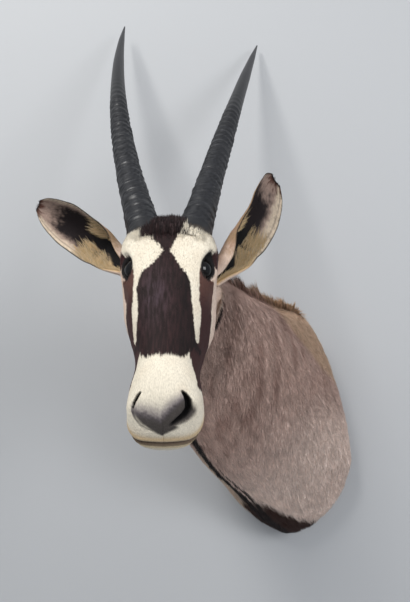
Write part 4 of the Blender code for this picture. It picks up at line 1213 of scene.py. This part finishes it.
collar_weight = smooth(0.009, 0.004, horn_gaps()) * over(place_grid, (0.68, 0.70), (0.93, 0.88))
grow_coat("horn_collar", COLLAR_TUFTS, collar_weight, 2, ((0.68, 0.78, 0.9), (0.011, 0.013, 0.015)),
          ((0.7, 0.9), (0.00040, 0.00050)), (0.05, 0.28), (0.0, 0.20), (0.94, 1.10))
ridge_weight = smooth(0.020, 0.008, from_back) * over(place_grid, (0.90, 1.02), (2.02, 1.75))
grow_coat("mane_hair", MANE_TUFTS, ridge_weight, 3,
          ((0.9, 1.1, 1.5, 1.9), (0.022, 0.031, 0.027, 0.018)),
          ((0.9, 2.0), (0.0009, 0.0008)), (0.75, 1.25), (0.25, 0.75), (0.6, 1.6), 0.45)
from_line = np.abs(around - np.interp(place_grid, THROAT_LINE_PLACES, THROAT_LINE))
throat_weight = smooth(0.020, 0.010, from_line) * over(place_grid, (1.0, 1.08), (2.19, 2.15))
grow_coat("throat_hair", THROAT_TUFTS, throat_weight, 3,
          ((1.0, 1.5, 1.9, 2.1, 2.2), (0.016, 0.022, 0.022, 0.012, 0.006)),
          ((1.0, 2.0), (0.0006, 0.0007)), (0.20, 0.45), (-0.05, 0.15))


def ear_hair(name, grid, outward, share, where, inside):
    """Short coat on both faces of an ear, and the longer fans of pale hair inside its root."""
    colour = ear_markings(name, grid, share, where, inside)
    tipward = unit(np.gradient(grid, axis=0))
    across = unit(np.roll(grid, -1, axis=1) - grid)
    # On the inside the columns run from the far edge back, so -across leads to growing values of where
    inward = across * (np.sign(where - PATCH_MIDDLE[name]) * inside)[..., None]
    ear_lie = tipward * (1 - 0.45 * inside)[..., None] + 0.8 * inward
    spots = plant(grid, int(EAR_TUFTS * kept_share), 1 - 0.3 * inside)
    roots, out, lie, tint = (read_at(values, spots) for values in (grid, outward, ear_lie, colour))
    count = len(roots)
    lie = lie + spread(-0.15, 0.15, (count, 3))
    length, half_width = spread(0.004, 0.008, count), spread(0.0003, 0.00045, count)
    lift = (spread(0.12, 0.35, count), spread(0.05, 0.15, count))
    tint = tint * spread(0.88, 1.16, count)[:, None]
    tufts(name + "_coat", roots, unit(out), lie, length, half_width, lift, tint,
          unwrap_spots(spots, *grid.shape[:2]), 1, coat_finish)

    fan = inside * smooth(0.60, 0.44, share) * smooth(0.02, 0.12, np.abs(where) - canal_edge(share))
    spots = plant(grid, int(FAN_TUFTS * kept_share), fan * smooth(1.0, 0.9, np.abs(where)) + 1e-6)
    roots, out, lie = (read_at(values, spots) for values in (grid, outward, tipward + 0.35 * inward))
    count = len(roots)
    gold = mix(EAR_GOLD, EAR_CREAM_HAIR, RANDOM.random(count)) * spread(0.8, 1.1, count)[:, None]
    lie = lie + spread(-0.15, 0.15, (count, 3))
    length, half_width = spread(0.012, 0.023, count), spread(0.0003, 0.00045, count)
    lift = (spread(0.12, 0.40, count), spread(0.0, 0.20, count))
    tufts(name + "_fan", roots, unit(out), lie, length, half_width, lift, gold,
          unwrap_spots(spots, *grid.shape[:2]), 3, coat_finish)


for name, rows in ears.items():
    ear_hair(name, *rows)

for name, row in HORNS.items():
    grid, colours = horn_grid(*row)
    made = closed_tube(name + "_ringed", grid, colours)
    dress(made, horn_finish)
    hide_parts(name)

for side, label in ((1, "left"), (-1, "right")):
    eyeball("eye_" + label + "_glass", side, eye_finish)
    lid_rim("lid_" + label, side, lid_finish)

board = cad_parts["back_board"]
board.data.materials.clear()
board.data.materials.append(board_finish)


FLOOR_Z = -1.6
WALL_Y = -0.0005
WALL_HALF_WIDTH = 4.0
WALL_TOP = 4.0
FLOOR_HALF_WIDTH = 6.0


def stage_plane(name, corners, finish):
    """A flat four-cornered piece of the stage."""
    made = new_mesh(name, np.array(corners), np.array([[0, 1, 2, 3]]))
    made.data.materials.append(finish)


def wall_material():
    """Pale plaster that is seen from its front only."""
    made, nodes, links, shader = node_material("wall_plaster")
    shader.inputs["Base Color"].default_value = (*linear(186, 188, 190), 1.0)
    shader.inputs["Roughness"].default_value = 0.9
    geometry = nodes.new("ShaderNodeNewGeometry")
    clear = nodes.new("ShaderNodeBsdfTransparent")
    blend = nodes.new("ShaderNodeMixShader")
    links.new(geometry.outputs["Backfacing"], blend.inputs["Fac"])
    links.new(shader.outputs["BSDF"], blend.inputs[1])
    links.new(clear.outputs["BSDF"], blend.inputs[2])
    links.new(blend.outputs["Shader"], nodes["Material Output"].inputs["Surface"])
    return made


# The wall lies just in front of the board's back, so that it hides nothing from behind
SQUARE = ((-1, -1), (1, -1), (1, 1), (-1, 1))
wall_middle, wall_half_height = (WALL_TOP + FLOOR_Z) / 2, (WALL_TOP - FLOOR_Z) / 2
stage_plane("wall", [(x * WALL_HALF_WIDTH, WALL_Y, wall_middle + z * wall_half_height) for x, z in SQUARE],
            wall_material())
floor_finish = varied_material("floor_pale", 0.9, 0.03, 8.0, 0.0, colour=linear(190, 191, 192))
stage_plane("floor", [(x * FLOOR_HALF_WIDTH, y * FLOOR_HALF_WIDTH, FLOOR_Z) for x, y in SQUARE], floor_finish)


# Name, place, target, size, power and colour
LIGHTS = (
    ("key", (-1.3, -2.1, 2.0), (-0.1, -0.1, 0.1), 0.9, 54.0, (1.0, 0.98, 0.95)),
    ("fill", (1.7, -2.3, 0.9), (-0.1, -0.2, 0.1), 1.1, 30.0, (0.98, 0.98, 1.0)),
    ("back", (0.8, 2.2, 1.8), (0.0, 0.0, 0.1), 1.6, 25.0, (1.0, 1.0, 1.0)),
)
SKY = (0.80, 0.84, 0.90, 1.0)
SKY_STRENGTH = 0.55


def area_light(name, place, target, size, power, colour):
    """A square soft light aimed at a point."""
    data = bpy.data.lights.new(name, "AREA")
    data.size = size
    data.energy = power
    data.color = colour
    made = bpy.data.objects.new(name, data)
    bpy.context.scene.collection.objects.link(made)
    made.location = place
    made.rotation_euler = (Vector(target) - Vector(place)).to_track_quat("-Z", "Y").to_euler()


for light in LIGHTS:
    area_light(*light)

world = bpy.data.worlds.new("studio")
bpy.context.scene.world = world
world.use_nodes = True
world.node_tree.nodes["Background"].inputs["Color"].default_value = SKY
world.node_tree.nodes["Background"].inputs["Strength"].default_value = SKY_STRENGTH
bpy.context.scene.view_settings.view_transform = "Standard"

# The photo's camera: its focal length and the photo's longer side in pixels
FOCAL_PIXELS = 494.0
PHOTO_PIXELS = 602.0
SENSOR = 36.0
CAMERA_PLACE = (-0.17, -1.30, 0.12)
CAMERA_TILT = radians(96.0)

camera_data = bpy.data.cameras.new("camera")
camera_data.sensor_width = SENSOR
camera_data.lens = SENSOR * FOCAL_PIXELS / PHOTO_PIXELS
camera = bpy.data.objects.new("camera", camera_data)
bpy.context.scene.collection.objects.link(camera)
camera.location = CAMERA_PLACE
camera.rotation_euler = (CAMERA_TILT, 0.0, 0.0)
bpy.context.scene.camera = camera
